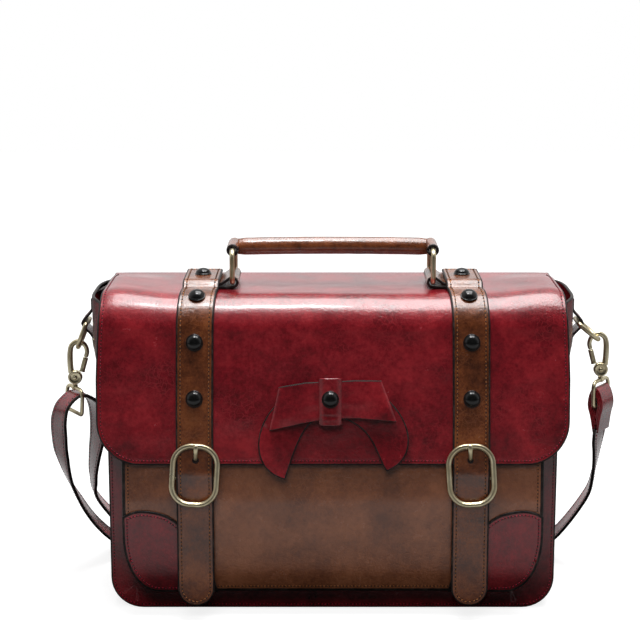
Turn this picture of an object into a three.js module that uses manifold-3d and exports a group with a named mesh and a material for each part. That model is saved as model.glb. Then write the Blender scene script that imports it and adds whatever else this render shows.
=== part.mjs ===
// A satchel bag: a boxy leather body with a full front flap, a front pocket, two buckled belts,
// a bow, a carrying handle on two rings, and a shoulder strap on two swivel snap hooks.
// Millimetres. The origin is the centre of the base, +X is right, +Y is back and +Z is up.

import * as THREE from "three";
import { mergeVertices } from "three/addons/utils/BufferGeometryUtils.js";
import Module from "manifold-3d";

const wasm = await Module();
wasm.setup();

// ---- Driving dimensions ----

const gap = 0.3; // between pieces that touch
const degree = Math.PI / 180;

const bodyWidth = 336;
const bodyDepth = 100;
const bodyHeight = 238;
const bodyCorner = 24; // radius of the two lower corners
const frontPanelDrop = 12; // below the back panel's top, to clear the curve of the flap
const panelThickness = 2.6;
const gussetThickness = 2.4;
const gussetDrop = 0.5; // below the panels' height
const gussetBulge = 13; // how far the stuffed sides push out near the top
const bulgeStart = 140; // height where the sides start to push out
const bulgeFull = 205; // height where they are fully out

const boardThickness = 2.5;
const boardInset = 30; // from the body's side to the board's end
const liningThickness = 1;
const liningClearance = 0.5;
const liningDrop = 16; // below the back panel's top
const slipPocketWidth = 160;
const slipPocketBottom = 90;
const slipPocketTop = 180;

const pocketWidth = 312;
const pocketBottom = 19.5;
const pocketTop = 148;
const pocketDepth = 20; // at the foot of the pocket
const pocketMouthDepth = 14; // at its top edge, under the flap
const pocketTaperStart = 90; // height where the front starts to lean back
const pocketCornerWide = 27;
const pocketCornerTall = 45;
const pocketPanelThickness = 2.4;
const pocketGussetThickness = 2;
const pocketGussetInset = 3;
const patchWidth = 70;
const patchHeight = 60;
const patchThickness = 1.2;

const flapOverhang = 5; // past the body at each side
const flapThickness = 3;
const flapBackInset = 1; // from the back of the body
const flapFrontRadius = 23; // inside radius of the front bend
const flapStandoff = 6; // from the body to the inside of the flap, at the foot of the bend
const flapOverPocket = 1; // how far the flap's edge lies inside the pocket's front
const flapEdgeHeight = 119;
const flapCorner = 32;
const hemHeight = 33;
const hemThickness = 2.3;

const beltWidth = 27.5;
const beltThickness = 2.4;
const beltCentreTop = 98.2; // from the middle of the bag, on the top
const beltCentreFront = 101.5; // and at the buckle
const beltSpreadStart = -20; // depth where the belts start to spread
const beltBackEdge = 24;
const beltRampRun = 2.4; // how far the belt takes to come down off the anchor strap
const tongueTip = 12;
const tongueClearance = 1.1; // from the corner patch to the hanging tongue
const prongSlotWidth = 4.4;
const prongSlotRise = 13; // above the buckle's centre

const studRadius = 5.9;
const studHeight = 4.5;
const studHeights = [210, 169]; // the two studs on the front of each belt
const bendStudAngle = 27; // from straight up, on the flap's bend

const buckleClearance = 0.5; // between the belt's edge and the frame
const buckleHeight = 47;
const buckleCentre = 113;
const buckleBar = 4; // width of the frame's bars
const buckleThickness = 3;
const buckleCorner = 12;
const barRadius = 1.3;
const prongThickness = 1.6;
const prongWall = 1.2; // of its loop round the cross bar
const barDrop = 3.7; // of the cross bar below the buckle's centre
const barStandoff = 1.7; // in front of the tongue's inner face
const snapRadius = 7;
const snapThickness = 0.8;
const snapDrop = 10.3; // below the cross bar

const anchorWidth = 42; // front to back
const anchorThickness = 2.2;
const anchorReach = 8.05; // past the belt's outer edge
const anchorLayerGap = 0.4;
const ringInset = 9.45; // from the belt's inner edge to the ring
const ringWire = 1.9; // radius
const ringClearance = 1.3; // between the anchor's edge and the ring
const ringPlay = 0.8; // between a ring's bar and the leather round it
const ringCorner = 5;
const ringHeight = 23.5; // between the centres of its bottom and top bars
const handleDiameter = 13;
const handleRise = 0.4; // of its middle above the rings' top bars
const handleArch = 0.8;
const handleLoopWidth = 32;

const bowCentreX = -2;
const bowCentreHeight = 169;
const bowTailThickness = 1.6;
const bowLoopThickness = 5;
const bowWrapThickness = 1.8;
const bowWrapWidth = 17;
const bowWrapHeight = 35;
const bowWrapDrop = 1.5; // of its middle below the stud

const tabWidth = 19;
const tabThickness = 1.8;
const tabBottom = 188;
const tabTop = 232;
const dRingHeight = 212.5;
const dRingStandoff = 6; // from the bulged side to the ring's bar
const dRingWire = 1.8;
const dRingClearance = 0.7; // between the tab's edge and the ring
const dRingReach = 21.5; // from its bar to the middle of its bow
const dRingPlay = 0.5;
const dRingLean = { left: 21, right: 50 }; // degrees out from hanging straight down
const hookWire = 1.9;
const hookDiscRadius = 5.5;
const hookDiscThickness = 5;
const hookSeat = new THREE.Vector2(2, 24.1); // where the D-ring lies in the hook, from the disc
const hookTilt = { left: 3, right: -2 };
const gateWire = 1.5;
const rivetRadius = 1.3;
const rivetHeight = 0.7;
const eyeWire = 1.5;
const eyeClearance = 1.2; // between the strap's edge and the eye
const eyeTop = -8.3; // below the disc's centre
const eyeBottom = -27.5;
const eyeTopCorner = 5;
const eyeBottomCorner = 2.5;
const eyeYaw = { left: 36, right: -36 };
const postRadius = 2.2;

const strapWidth = 19;
const strapThickness = 2.4;
const strapEndLength = 16; // of the fold below the eye's bar
const sliderWire = 1.1;
const sliderLength = 14;

// ---- Places worked out from the driving dimensions ----

const bodyFront = -bodyDepth / 2;
const bodyBack = bodyDepth / 2;
const frontPanelHeight = bodyHeight - frontPanelDrop;
const gussetTop = bodyHeight - gussetDrop;
const liningHeight = bodyHeight - liningDrop;
const pocketFace = bodyFront - pocketDepth;
const pocketMouth = bodyFront - pocketMouthDepth;
const flapWidth = bodyWidth + 2 * flapOverhang;
const flapBackEdge = bodyBack - flapBackInset;
const flapBendFront = bodyFront - flapStandoff;
const flapEdgeFront = pocketFace + flapOverPocket;
const flapInside = bodyHeight + gap;
const flapTop = flapInside + flapThickness;
const bendCentre = new THREE.Vector2(flapBendFront + flapFrontRadius, flapInside - flapFrontRadius);
const flapLean = Math.atan((flapBendFront - flapEdgeFront) / (bendCentre.y - flapEdgeHeight));
const anchorLoopRadius = ringWire + ringPlay + anchorThickness;
const ringWidth = anchorWidth + 2 * (ringClearance + ringWire); // between its side bars' centres
const ringX = beltCentreTop - beltWidth / 2 - ringInset;
const anchorOuterEnd = beltCentreTop + beltWidth / 2 + anchorReach;
const ringBottomHeight = flapTop + gap + anchorLoopRadius;
const ringTopHeight = ringBottomHeight + ringHeight;
const handleHeight = ringTopHeight + handleRise;
const beltOnAnchor = flapTop + 2 * gap + 2 * anchorThickness + anchorLayerGap;
const buckleWidth = beltWidth + 2 * (buckleClearance + buckleBar);
const tongueFront = pocketFace - patchThickness - tongueClearance;
const barHeight = buckleCentre - barDrop;
const barDepth = tongueFront - barStandoff;
const snapHeight = barHeight - snapDrop;
const prongSlotTop = buckleCentre + prongSlotRise;
const prongLoopRadius = barRadius + gap + prongWall;
const dRingX = bodyWidth / 2 + gussetBulge + dRingStandoff;
const dRingWidth = tabWidth + 2 * (dRingClearance + dRingWire); // between its arms' centres
const eyeWidth = strapWidth + 2 * (eyeClearance + eyeWire); // between its arms' centres
const sideOf = { left: -1, right: 1 };

const leather = (name, color) => new THREE.MeshStandardMaterial({ name, color, roughness: 0.35 });
const materials = {
  red: leather("red_leather", 0x8c1425),
  brown: leather("brown_leather", 0x74401f),
  lining: new THREE.MeshStandardMaterial({ name: "lining", color: 0x3b2c28, roughness: 0.9 }),
  board: new THREE.MeshStandardMaterial({ name: "board", color: 0x6b5a45, roughness: 0.9 }),
  brass: new THREE.MeshStandardMaterial({ name: "brass", color: 0xb3a06a, roughness: 0.3, metalness: 1 }),
  black: new THREE.MeshStandardMaterial({ name: "black_gloss", color: 0x0c0c0e, roughness: 0.08 }),
};

// ---- Geometry helpers ----

const point = (x, y, z) => new THREE.Vector3(x, y, z);
const smooth = (from, to, value) => THREE.MathUtils.smoothstep(value, from, to);

function solidOf(geometry) {
  const bare = new THREE.BufferGeometry();
  bare.setAttribute("position", geometry.getAttribute("position"));
  if (geometry.index) bare.setIndex(geometry.index);
  const merged = mergeVertices(bare, 1e-4);
  return new wasm.Manifold(
    new wasm.Mesh({
      numProp: 3,
      vertProperties: merged.attributes.position.array,
      triVerts: new Uint32Array(merged.index.array),
    }),
  );
}

function geometryOf(solid) {
  const mesh = solid.getMesh();
  const geometry = new THREE.BufferGeometry();
  geometry.setAttribute("position", new THREE.BufferAttribute(mesh.vertProperties, 3));
  geometry.setIndex(new THREE.BufferAttribute(mesh.triVerts, 1));
  geometry.computeVertexNormals();
  return geometry;
}

const join = (...geometries) => geometryOf(geometries.map(solidOf).reduce((a, b) => a.add(b)));
const cut = (geometry, ...tools) =>
  geometryOf(tools.map(solidOf).reduce((a, b) => a.subtract(b), solidOf(geometry)));

function enclosedVolume(positions, indices) {
  let volume = 0;
  for (let i = 0; i < indices.length; i += 3) {
    const [a, b, c] = [0, 1, 2].map((k) => new THREE.Vector3().fromArray(positions, 3 * indices[i + k]));
    volume += a.dot(b.cross(c)) / 6;
  }
  return volume;
}

// A closed geometry from its points and triangles, turned to face outwards.
function closedGeometry(points, triangles) {
  const positions = points.flatMap((p) => [p.x, p.y, p.z]);
  let indices = triangles.flat();
  if (enclosedVolume(positions, indices) < 0) indices = triangles.flatMap(([a, b, c]) => [a, c, b]);
  const geometry = new THREE.BufferGeometry();
  geometry.setAttribute("position", new THREE.Float32BufferAttribute(positions, 3));
  geometry.setIndex(indices);
  geometry.computeVertexNormals();
  return geometry;
}

// A closed sheet between two surfaces, each a function of column and row.
function sheet(columns, rows, near, far) {
  const points = [];
  const index = (side, column, row) => (side * (rows + 1) + row) * (columns + 1) + column;
  for (const surface of [near, far])
    for (let row = 0; row <= rows; row++)
      for (let column = 0; column <= columns; column++) points.push(surface(column, row));
  const triangles = [];
  const quad = (a, b, c, d) => triangles.push([a, b, c], [a, c, d]);
  for (let row = 0; row < rows; row++)
    for (let column = 0; column < columns; column++) {
      const corners = [[column, row], [column + 1, row], [column + 1, row + 1], [column, row + 1]];
      quad(...corners.map(([c, r]) => index(0, c, r)));
      quad(...corners.reverse().map(([c, r]) => index(1, c, r)));
    }
  for (let column = 0; column < columns; column++) {
    const next = column + 1;
    quad(index(0, next, 0), index(0, column, 0), index(1, column, 0), index(1, next, 0));
    quad(index(0, column, rows), index(0, next, rows), index(1, next, rows), index(1, column, rows));
  }
  for (let row = 0; row < rows; row++) {
    const next = row + 1;
    quad(index(0, 0, row), index(0, 0, next), index(1, 0, next), index(1, 0, row));
    quad(index(0, columns, next), index(0, columns, row), index(1, columns, row), index(1, columns, next));
  }
  return closedGeometry(points, triangles);
}

// The points of a 2D line moved sideways by a distance, to the left of its direction, with mitred corners.
function offsetLine(line, distance) {
  const along = line.slice(1).map((p, i) => p.clone().sub(line[i]).normalize());
  return line.map((p, i) => {
    const before = along[Math.max(i - 1, 0)];
    const after = along[Math.min(i, along.length - 1)];
    const normal = new THREE.Vector2(-before.y - after.y, before.x + after.x).normalize();
    const stretch = distance / normal.dot(new THREE.Vector2(-after.y, after.x));
    return p.clone().addScaledVector(normal, stretch);
  });
}

const arcPoints = (centre, radius, from, to, steps) =>
  Array.from({ length: steps + 1 }, (_, i) => {
    const angle = (from + ((to - from) * i) / steps) * degree;
    return new THREE.Vector2(centre.x + radius * Math.cos(angle), centre.y + radius * Math.sin(angle));
  });

// A strip of leather that follows a 2D side view: (y, z) points of its inner face, outer face to the left.
function stripAlong(line, thickness, halfWidthAt, centreAt) {
  const outer = offsetLine(line, thickness);
  const surface = (points) => (column, row) => {
    const across = (column === 0 ? -1 : 1) * halfWidthAt(line[row]);
    return point(centreAt(line[row]) + across, points[row].x, points[row].y);
  };
  return sheet(1, line.length - 1, surface(line), surface(outer));
}

// A round wire along points in one plane, whose normal is given.
function wire(points, radius, normal, closed, sides = 8) {
  const rings = points.map((p, i) => {
    const last = points.length - 1;
    const before = points[i > 0 ? i - 1 : closed ? last : 0];
    const after = points[i < last ? i + 1 : closed ? 0 : last];
    const tangent = after.clone().sub(before).normalize();
    const sideways = tangent.cross(normal);
    return Array.from({ length: sides }, (_, k) => {
      const angle = (2 * Math.PI * k) / sides;
      return p.clone()
        .addScaledVector(normal, radius * Math.cos(angle))
        .addScaledVector(sideways, radius * Math.sin(angle));
    });
  });
  const triangles = [];
  const count = points.length;
  for (let i = 0; i < (closed ? count : count - 1); i++)
    for (let k = 0; k < sides; k++) {
      const [a, b] = [i * sides + k, i * sides + ((k + 1) % sides)];
      const [c, d] = [((i + 1) % count) * sides + k, ((i + 1) % count) * sides + ((k + 1) % sides)];
      triangles.push([a, b, d], [a, d, c]);
    }
  if (!closed)
    for (let k = 1; k < sides - 1; k++) {
      const end = (count - 1) * sides;
      triangles.push([0, k + 1, k], [end, end + k, end + k + 1]);
    }
  return closedGeometry(rings.flat(), triangles);
}

function plate(shape, thickness, curveSegments = 8) {
  return new THREE.ExtrudeGeometry(shape, { depth: thickness, bevelEnabled: false, curveSegments });
}

function roundedRectangle(width, height, radius) {
  const [w, h] = [width / 2, height / 2];
  const shape = new THREE.Shape();
  shape.moveTo(-w + radius, -h);
  shape.lineTo(w - radius, -h);
  shape.absarc(w - radius, -h + radius, radius, -Math.PI / 2, 0);
  shape.absarc(w - radius, h - radius, radius, 0, Math.PI / 2);
  shape.absarc(-w + radius, h - radius, radius, Math.PI / 2, Math.PI);
  shape.absarc(-w + radius, -h + radius, radius, Math.PI, 1.5 * Math.PI);
  return shape;
}

function mesh(name, geometry, material) {
  const made = new THREE.Mesh(geometry, material);
  made.name = name;
  return made;
}

// A group whose X stays right, whose Y runs up the bag's front and whose Z points out of it.
function frontGroup(position, lean, ...children) {
  const group = new THREE.Group();
  group.position.copy(position);
  group.rotation.x = Math.PI / 2 - lean;
  if (children.length) group.add(...children);
  return group;
}

// ---- Body ----

// The outline of the body's front: flat top, and two rounded lower corners.
function bodyShape(halfWidth, bottom, top, radius) {
  const shape = new THREE.Shape();
  shape.moveTo(-halfWidth, top);
  shape.lineTo(-halfWidth, bottom + radius);
  shape.absarc(-halfWidth + radius, bottom + radius, radius, Math.PI, 1.5 * Math.PI);
  shape.absarc(halfWidth - radius, bottom + radius, radius, 1.5 * Math.PI, 2 * Math.PI);
  shape.lineTo(halfWidth, top);
  return shape;
}

// The body's outline from the top of its left side, round the bottom, to the top of its right side.
function bodyOutline() {
  const half = bodyWidth / 2;
  const sideSteps = 12;
  const side = Array.from({ length: sideSteps }, (_, i) =>
    new THREE.Vector2(-half, gussetTop + ((bodyCorner - gussetTop) * i) / sideSteps));
  const cornerCentre = new THREE.Vector2(-half + bodyCorner, bodyCorner);
  const left = side.concat(arcPoints(cornerCentre, bodyCorner, 180, 270, 6));
  const right = left.map((p) => new THREE.Vector2(-p.x, p.y)).reverse();
  return left.concat(right);
}

// How far the stuffed side pushes out at a depth and a height: nothing where it is sewn to the panels.
function bulgeAt(y, z) {
  const across = 1 - Math.pow(Math.abs(y) / (bodyDepth / 2 - panelThickness), 4);
  return gussetBulge * Math.max(across, 0) * smooth(bulgeStart, bulgeFull, z);
}

// The top of the side drops towards the front, under the flap's bend.
function sideTopAt(y) {
  if (y > bendCentre.x) return gussetTop;
  const clear = flapFrontRadius - 2 * gap;
  return Math.min(gussetTop, bendCentre.y + Math.sqrt(clear ** 2 - (y - bendCentre.x) ** 2));
}

function gusset() {
  const outline = bodyOutline();
  const inner = offsetLine(outline, gussetThickness);
  const depthSteps = 10;
  const reach = bodyDepth / 2 - panelThickness - gap;
  const surface = (line) => (column, row) => {
    const y = -reach + (2 * reach * row) / depthSteps;
    const p = line[column];
    const drop = (gussetTop - sideTopAt(y)) * smooth(bulgeStart, gussetTop, p.y);
    return point(p.x + Math.sign(p.x) * bulgeAt(y, p.y), y, p.y - drop);
  };
  const geometry = sheet(outline.length - 1, depthSteps, surface(inner), surface(outline));
  return mesh("gusset", geometry, materials.red);
}

function panels() {
  const half = bodyWidth / 2;
  const front = plate(bodyShape(half, 0, frontPanelHeight, bodyCorner), panelThickness);
  const back = plate(bodyShape(half, 0, bodyHeight, bodyCorner), panelThickness);
  return [
    frontGroup(point(0, bodyFront + panelThickness, 0), 0, mesh("front_panel", front, materials.red)),
    frontGroup(point(0, bodyBack, 0), 0, mesh("back_panel", back, materials.red)),
  ];
}

function flapHem() {
  const shape = roundedRectangle(flapWidth - 12, hemHeight, 6);
  const hem = mesh("flap_hem", plate(shape, hemThickness), materials.red);
  return frontGroup(point(0, bodyBack + gap + hemThickness, bodyHeight - hemHeight / 2), 0, hem);
}

const boardTop = gussetThickness + gap + boardThickness;

function insides() {
  const board = new THREE.BoxGeometry(bodyWidth - 2 * boardInset, bodyDepth - 12, boardThickness);
  const boardMesh = mesh("base_board", board, materials.board);
  boardMesh.position.z = boardTop - boardThickness / 2;
  const half = bodyWidth / 2 - gussetThickness - liningClearance;
  const reach = bodyDepth / 2 - panelThickness - liningClearance;
  const floor = boardTop + gap;
  const outside = plate(bodyShape(half, floor, liningHeight, bodyCorner), 2 * reach);
  const inside = plate(
    bodyShape(half - liningThickness, floor + liningThickness, liningHeight + 10, bodyCorner),
    2 * (reach - liningThickness),
  );
  inside.translate(0, 0, liningThickness);
  const lining = mesh("lining", cut(outside, inside), materials.lining);
  const slipShape = roundedRectangle(slipPocketWidth, slipPocketTop - slipPocketBottom, 8);
  const slip = plate(slipShape, liningThickness);
  const slipMesh = mesh("slip_pocket", slip, materials.lining);
  const slipBack = reach - liningThickness - gap;
  return [
    boardMesh,
    frontGroup(point(0, reach, 0), 0, lining),
    frontGroup(point(0, slipBack, (slipPocketTop + slipPocketBottom) / 2), 0, slipMesh),
  ];
}

// ---- Front pocket ----

// The pocket's front face leans back above the taper.
function pocketFaceAt(z) {
  const share = Math.max(z - pocketTaperStart, 0) / (pocketTop - pocketTaperStart);
  return pocketFace + (pocketMouth - pocketFace) * share;
}

// The pocket's outline, moved in by an inset, from the top of its left side to the top of its right side.
function pocketOutline(inset) {
  const half = pocketWidth / 2 - inset;
  const [wide, tall] = [pocketCornerWide, pocketCornerTall];
  const bottom = pocketBottom + inset;
  const heights = [pocketTop, (pocketTop + pocketTaperStart) / 2, pocketTaperStart];
  const side = heights.map((z) => new THREE.Vector2(-half, z));
  const corner = arcPoints(new THREE.Vector2(0, 0), 1, 180, 270, 8).map(
    (p) => new THREE.Vector2(-half + wide + wide * p.x, bottom + tall + tall * p.y),
  );
  const left = side.concat(corner);
  return left.concat(left.map((p) => new THREE.Vector2(-p.x, p.y)).reverse());
}

function pocketPanel() {
  const left = pocketOutline(0).filter((p) => p.x < 0);
  const surface = (shift) => (column, row) => {
    const p = left[row];
    return point(column === 0 ? p.x : -p.x, pocketFaceAt(p.y) + shift, p.y);
  };
  const geometry = sheet(1, left.length - 1, surface(0), surface(pocketPanelThickness));
  return mesh("pocket_panel", geometry, materials.brown);
}

function pocketGusset() {
  const outer = pocketOutline(pocketGussetInset);
  const inner = offsetLine(outer, pocketGussetThickness);
  const surface = (line) => (column, row) => {
    const z = outer[column].y;
    const front = pocketFaceAt(z) + pocketPanelThickness + gap;
    return point(line[column].x, row === 0 ? front : bodyFront - gap, line[column].y);
  };
  return mesh("pocket_gusset", sheet(outer.length - 1, 1, surface(outer), surface(inner)), materials.red);
}

function cornerPatch(side) {
  const half = pocketWidth / 2;
  const shape = new THREE.Shape();
  const start = pocketBottom + pocketCornerTall;
  shape.moveTo(-half, start);
  const centre = -half + pocketCornerWide;
  shape.absellipse(centre, start, pocketCornerWide, pocketCornerTall, Math.PI, 1.5 * Math.PI);
  shape.lineTo(-half + patchWidth, pocketBottom);
  const [right, top] = [-half + patchWidth, pocketBottom + patchHeight];
  shape.bezierCurveTo(right - 4, pocketBottom + 30, right - 26, top, right - 42, top + 3);
  shape.bezierCurveTo(right - 54, top + 6, -half + 8, top + 6, -half, top);
  const geometry = plate(shape, patchThickness);
  if (side === "right") geometry.rotateY(Math.PI).translate(0, 0, patchThickness);
  const patch = mesh(`corner_patch_${side}`, geometry, materials.red);
  return frontGroup(point(0, pocketFace - gap, 0), 0, patch);
}

function snapSocket(side) {
  const lean = Math.atan((pocketMouth - pocketFace) / (pocketTop - pocketTaperStart));
  const disc = new THREE.CylinderGeometry(snapRadius, snapRadius, snapThickness, 20);
  disc.rotateX(Math.PI / 2).translate(0, 0, gap + snapThickness / 2);
  const place = point(sideOf[side] * beltCentreFront, pocketFaceAt(snapHeight), snapHeight);
  return frontGroup(place, lean, mesh(`snap_socket_${side}`, disc, materials.brass));
}

// ---- Flap ----

// The flap's inner face in side view, from the hinge over the top and down the front.
function flapLine() {
  const bend = arcPoints(bendCentre, flapFrontRadius, 90, 180, 8);
  const middle = new THREE.Vector2(flapEdgeFront, flapEdgeHeight).lerp(bend[bend.length - 1], 0.6);
  const corner = Array.from({ length: 9 }, (_, i) => {
    const z = flapEdgeHeight + flapCorner * (1 - Math.sin((i / 8) * (Math.PI / 2)));
    return new THREE.Vector2(flapEdgeFront + (z - flapEdgeHeight) * Math.tan(flapLean), z);
  });
  return [new THREE.Vector2(flapBackEdge, flapInside), ...bend, middle, ...corner];
}

function flapHalfWidth(p) {
  const rise = Math.max(flapEdgeHeight + flapCorner - p.y, 0);
  return flapWidth / 2 - flapCorner + Math.sqrt(Math.max(flapCorner ** 2 - rise ** 2, 0));
}

// Seen from the right, the line runs to the left and then down, so its outer face is on its right.
function flapCover() {
  const geometry = stripAlong(flapLine(), -flapThickness, flapHalfWidth, () => 0);
  return mesh("flap_cover", geometry, materials.red);
}

// A point on the outside of the flap's fall, at a height, moved out by a distance.
function onFall(x, z, out) {
  const face = flapEdgeFront + (z - flapEdgeHeight) * Math.tan(flapLean);
  const lift = flapThickness / Math.cos(flapLean) + out / Math.cos(flapLean);
  return point(x, face - lift, z);
}

// The two belts spread a little as they come forward over the flap's bend.
function beltCentreAt(y) {
  const share = THREE.MathUtils.clamp((beltSpreadStart - y) / (beltSpreadStart - flapEdgeFront), 0, 1);
  return THREE.MathUtils.lerp(beltCentreTop, beltCentreFront, share);
}

// ---- Belts, tongues and buckles ----

function belt(side) {
  const radius = flapFrontRadius + flapThickness + gap;
  const low = flapTop + gap;
  const rampTop = -anchorWidth / 2 - gap - 0.4;
  const bend = arcPoints(bendCentre, radius, 90, 180, 8);
  const end = onFall(0, barHeight + barRadius + gap, gap);
  const line = [
    new THREE.Vector2(beltBackEdge, beltOnAnchor),
    new THREE.Vector2(rampTop, beltOnAnchor),
    new THREE.Vector2(rampTop - beltRampRun, low),
    ...bend,
    new THREE.Vector2(end.y, end.z),
  ];
  const centre = (p) => sideOf[side] * beltCentreAt(p.x);
  const strip = stripAlong(line, -beltThickness, () => beltWidth / 2, centre);
  return mesh(`belt_${side}`, cut(strip, prongSlot(side)), materials.brown);
}

// The slot that lets the prong's loop round the cross bar, cut in the belt's end and the tongue's top.
function prongSlot(side) {
  const bottom = barHeight - prongLoopRadius - 2 * gap;
  const slot = new THREE.BoxGeometry(prongSlotWidth, 12, prongSlotTop - bottom);
  return slot.translate(sideOf[side] * beltCentreFront, barDepth, (prongSlotTop + bottom) / 2);
}

function tongue(side) {
  const top = barHeight - barRadius - gap;
  const round = beltWidth / 2;
  const heights = [top, ...Array.from({ length: 9 }, (_, i) =>
    tongueTip + round * (1 - Math.sin((i / 8) * (Math.PI / 2) * 0.96)))];
  const line = heights.map((z) => new THREE.Vector2(tongueFront, z));
  const halfWidth = (p) => {
    const drop = Math.max(tongueTip + round - p.y, 0);
    return Math.sqrt(Math.max(round ** 2 - drop ** 2, 0));
  };
  const centre = () => sideOf[side] * beltCentreFront;
  const strip = stripAlong(line, -beltThickness, halfWidth, centre);
  return mesh(`tongue_${side}`, cut(strip, prongSlot(side)), materials.brown);
}

function snapStud(side) {
  const disc = new THREE.CylinderGeometry(snapRadius, snapRadius, snapThickness, 20);
  const x = sideOf[side] * beltCentreFront;
  disc.translate(x, tongueFront + gap + snapThickness / 2, snapHeight);
  return mesh(`snap_stud_${side}`, disc, materials.brass);
}

// The frame is flat, with a cross bar set back behind it on two lugs.
function buckle(side) {
  const outline = roundedRectangle(buckleWidth, buckleHeight, buckleCorner);
  const [holeWidth, holeHeight] = [buckleWidth - 2 * buckleBar, buckleHeight - 2 * buckleBar];
  outline.holes.push(roundedRectangle(holeWidth, holeHeight, buckleCorner - buckleBar));
  const x = sideOf[side] * beltCentreFront;
  const seat = onFall(x, buckleCentre, 2 * gap + beltThickness);
  const group = frontGroup(seat, flapLean);
  group.updateMatrixWorld(true);
  const bar = group.worldToLocal(point(x, barDepth, barHeight));
  const lugs = [-1, 1].map((end) => {
    const depth = buckleThickness - bar.z + barRadius;
    const lug = new THREE.BoxGeometry(buckleBar - 0.4, 2 * barRadius, depth);
    return lug.translate((end * (buckleWidth - buckleBar)) / 2, bar.y, buckleThickness - depth / 2);
  });
  const rod = new THREE.CylinderGeometry(barRadius, barRadius, buckleWidth - buckleBar, 10);
  rod.rotateZ(Math.PI / 2).translate(0, bar.y, bar.z);
  const geometry = join(plate(outline, buckleThickness, 6), rod, ...lugs);
  group.add(mesh(`buckle_frame_${side}`, geometry, materials.brass));
  group.add(mesh(`buckle_prong_${side}`, prong(bar), materials.brass));
  return group;
}

// The prong is a loop round the cross bar and a flat finger that lies over the frame's top.
function prong(bar) {
  const back = buckleThickness + gap;
  const front = back + prongThickness;
  const reach = buckleHeight / 2 - 0.5;
  const shape = new THREE.Shape();
  shape.absarc(bar.z, bar.y, prongLoopRadius, 0.35 * Math.PI, 2.2 * Math.PI);
  shape.lineTo(front, reach - buckleBar - 2);
  shape.lineTo(front, reach);
  shape.lineTo(back, reach);
  shape.lineTo(back, reach - buckleBar - 1);
  shape.lineTo(back - 2.8, reach - buckleBar - 11);
  shape.closePath();
  const hole = new THREE.Path();
  hole.absarc(bar.z, bar.y, prongLoopRadius - prongWall, 0, 2 * Math.PI);
  shape.holes.push(hole);
  const width = prongSlotWidth - 4 * gap;
  const geometry = plate(shape, width, 6);
  return geometry.rotateY(-Math.PI / 2).translate(width / 2, 0, 0);
}

function studDome() {
  const profile = [new THREE.Vector2(0, 0), new THREE.Vector2(studRadius, 0)];
  const rise = 5;
  for (let i = 1; i < rise; i++) {
    const angle = (i / rise) * (Math.PI / 2);
    profile.push(new THREE.Vector2(studRadius * Math.cos(angle), studHeight * Math.sin(angle)));
  }
  profile.push(new THREE.Vector2(0, studHeight));
  return new THREE.LatheGeometry(profile, 14);
}

// A stud standing on a surface at a place, with its axis leaning forward by an angle from straight up.
function stud(name, place, lean) {
  const dome = mesh(name, studDome(), materials.black);
  const group = new THREE.Group();
  group.add(dome);
  dome.rotation.x = Math.PI / 2;
  group.position.copy(place);
  group.rotation.x = lean;
  return group;
}

function beltStuds(side) {
  const onTop = point(0, 0, beltOnAnchor + beltThickness + gap);
  const bendRadius = flapFrontRadius + flapThickness + beltThickness + 3 * gap;
  const angle = bendStudAngle * degree;
  const onBend = point(
    0,
    bendCentre.x - bendRadius * Math.sin(angle),
    bendCentre.y + bendRadius * Math.cos(angle),
  );
  const onFront = studHeights.map((z) => onFall(0, z, 3 * gap + beltThickness));
  const places = [onTop, onBend, ...onFront];
  const leans = [0, angle, ...onFront.map(() => Math.PI / 2 - flapLean)];
  return places.map((place, i) => {
    place.x = sideOf[side] * beltCentreAt(place.y);
    return stud(`belt_stud_${side}_${i + 1}`, place, leans[i]);
  });
}

// ---- Bow ----

function bowLoopShape() {
  const shape = new THREE.Shape();
  shape.moveTo(-37.8, 8.2);
  shape.quadraticCurveTo(-16, 13.5, 0, 12.5);
  shape.quadraticCurveTo(22, 14.8, 37.5, 14.1);
  shape.lineTo(48.6, -15.8);
  shape.quadraticCurveTo(20, -12.5, 0, -14.5);
  shape.quadraticCurveTo(-18, -17, -44.7, -23);
  shape.closePath();
  return shape;
}

function bowTailShape() {
  const shape = new THREE.Shape();
  shape.moveTo(0, 3);
  shape.lineTo(41, 0);
  shape.bezierCurveTo(60, -16, 66, -44, 41.3, -53.9);
  shape.bezierCurveTo(34, -34, 24, -18, 8, -15);
  shape.lineTo(-8, -15);
  shape.bezierCurveTo(-20, -24, -26, -42, -33, -60.1);
  shape.bezierCurveTo(-58, -54, -58, -24, -41, -6);
  shape.closePath();
  return shape;
}

function bow() {
  const place = onFall(bowCentreX, bowCentreHeight, gap);
  const group = frontGroup(place, flapLean);
  const loopsAt = bowTailThickness + gap;
  const wrapAt = loopsAt + bowLoopThickness + gap;
  const parts = [
    ["bow_tails", bowTailShape(), bowTailThickness, 0],
    ["bow_loops", bowLoopShape(), bowLoopThickness, loopsAt],
    ["bow_wrap", roundedRectangle(bowWrapWidth, bowWrapHeight, 2), bowWrapThickness, wrapAt],
  ];
  for (const [name, shape, thickness, out] of parts) {
    const drop = name === "bow_wrap" ? bowWrapDrop : 0;
    group.add(mesh(name, plate(shape, thickness).translate(0, -drop, out), materials.red));
  }
  const dome = mesh("bow_stud", studDome(), materials.black);
  dome.rotation.x = Math.PI / 2;
  dome.position.z = wrapAt + bowWrapThickness + gap;
  group.add(dome);
  return group;
}

// ---- Handle ----

// A strip of leather that follows a 2D side view in X and Z, with a width from front to back.
function stripAcross(line, thickness, width, mirror) {
  const outer = offsetLine(line, thickness);
  const surface = (points) => (column, row) =>
    point(mirror * points[row].x, (column - 0.5) * width, points[row].y);
  return sheet(1, line.length - 1, surface(line), surface(outer));
}

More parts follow.
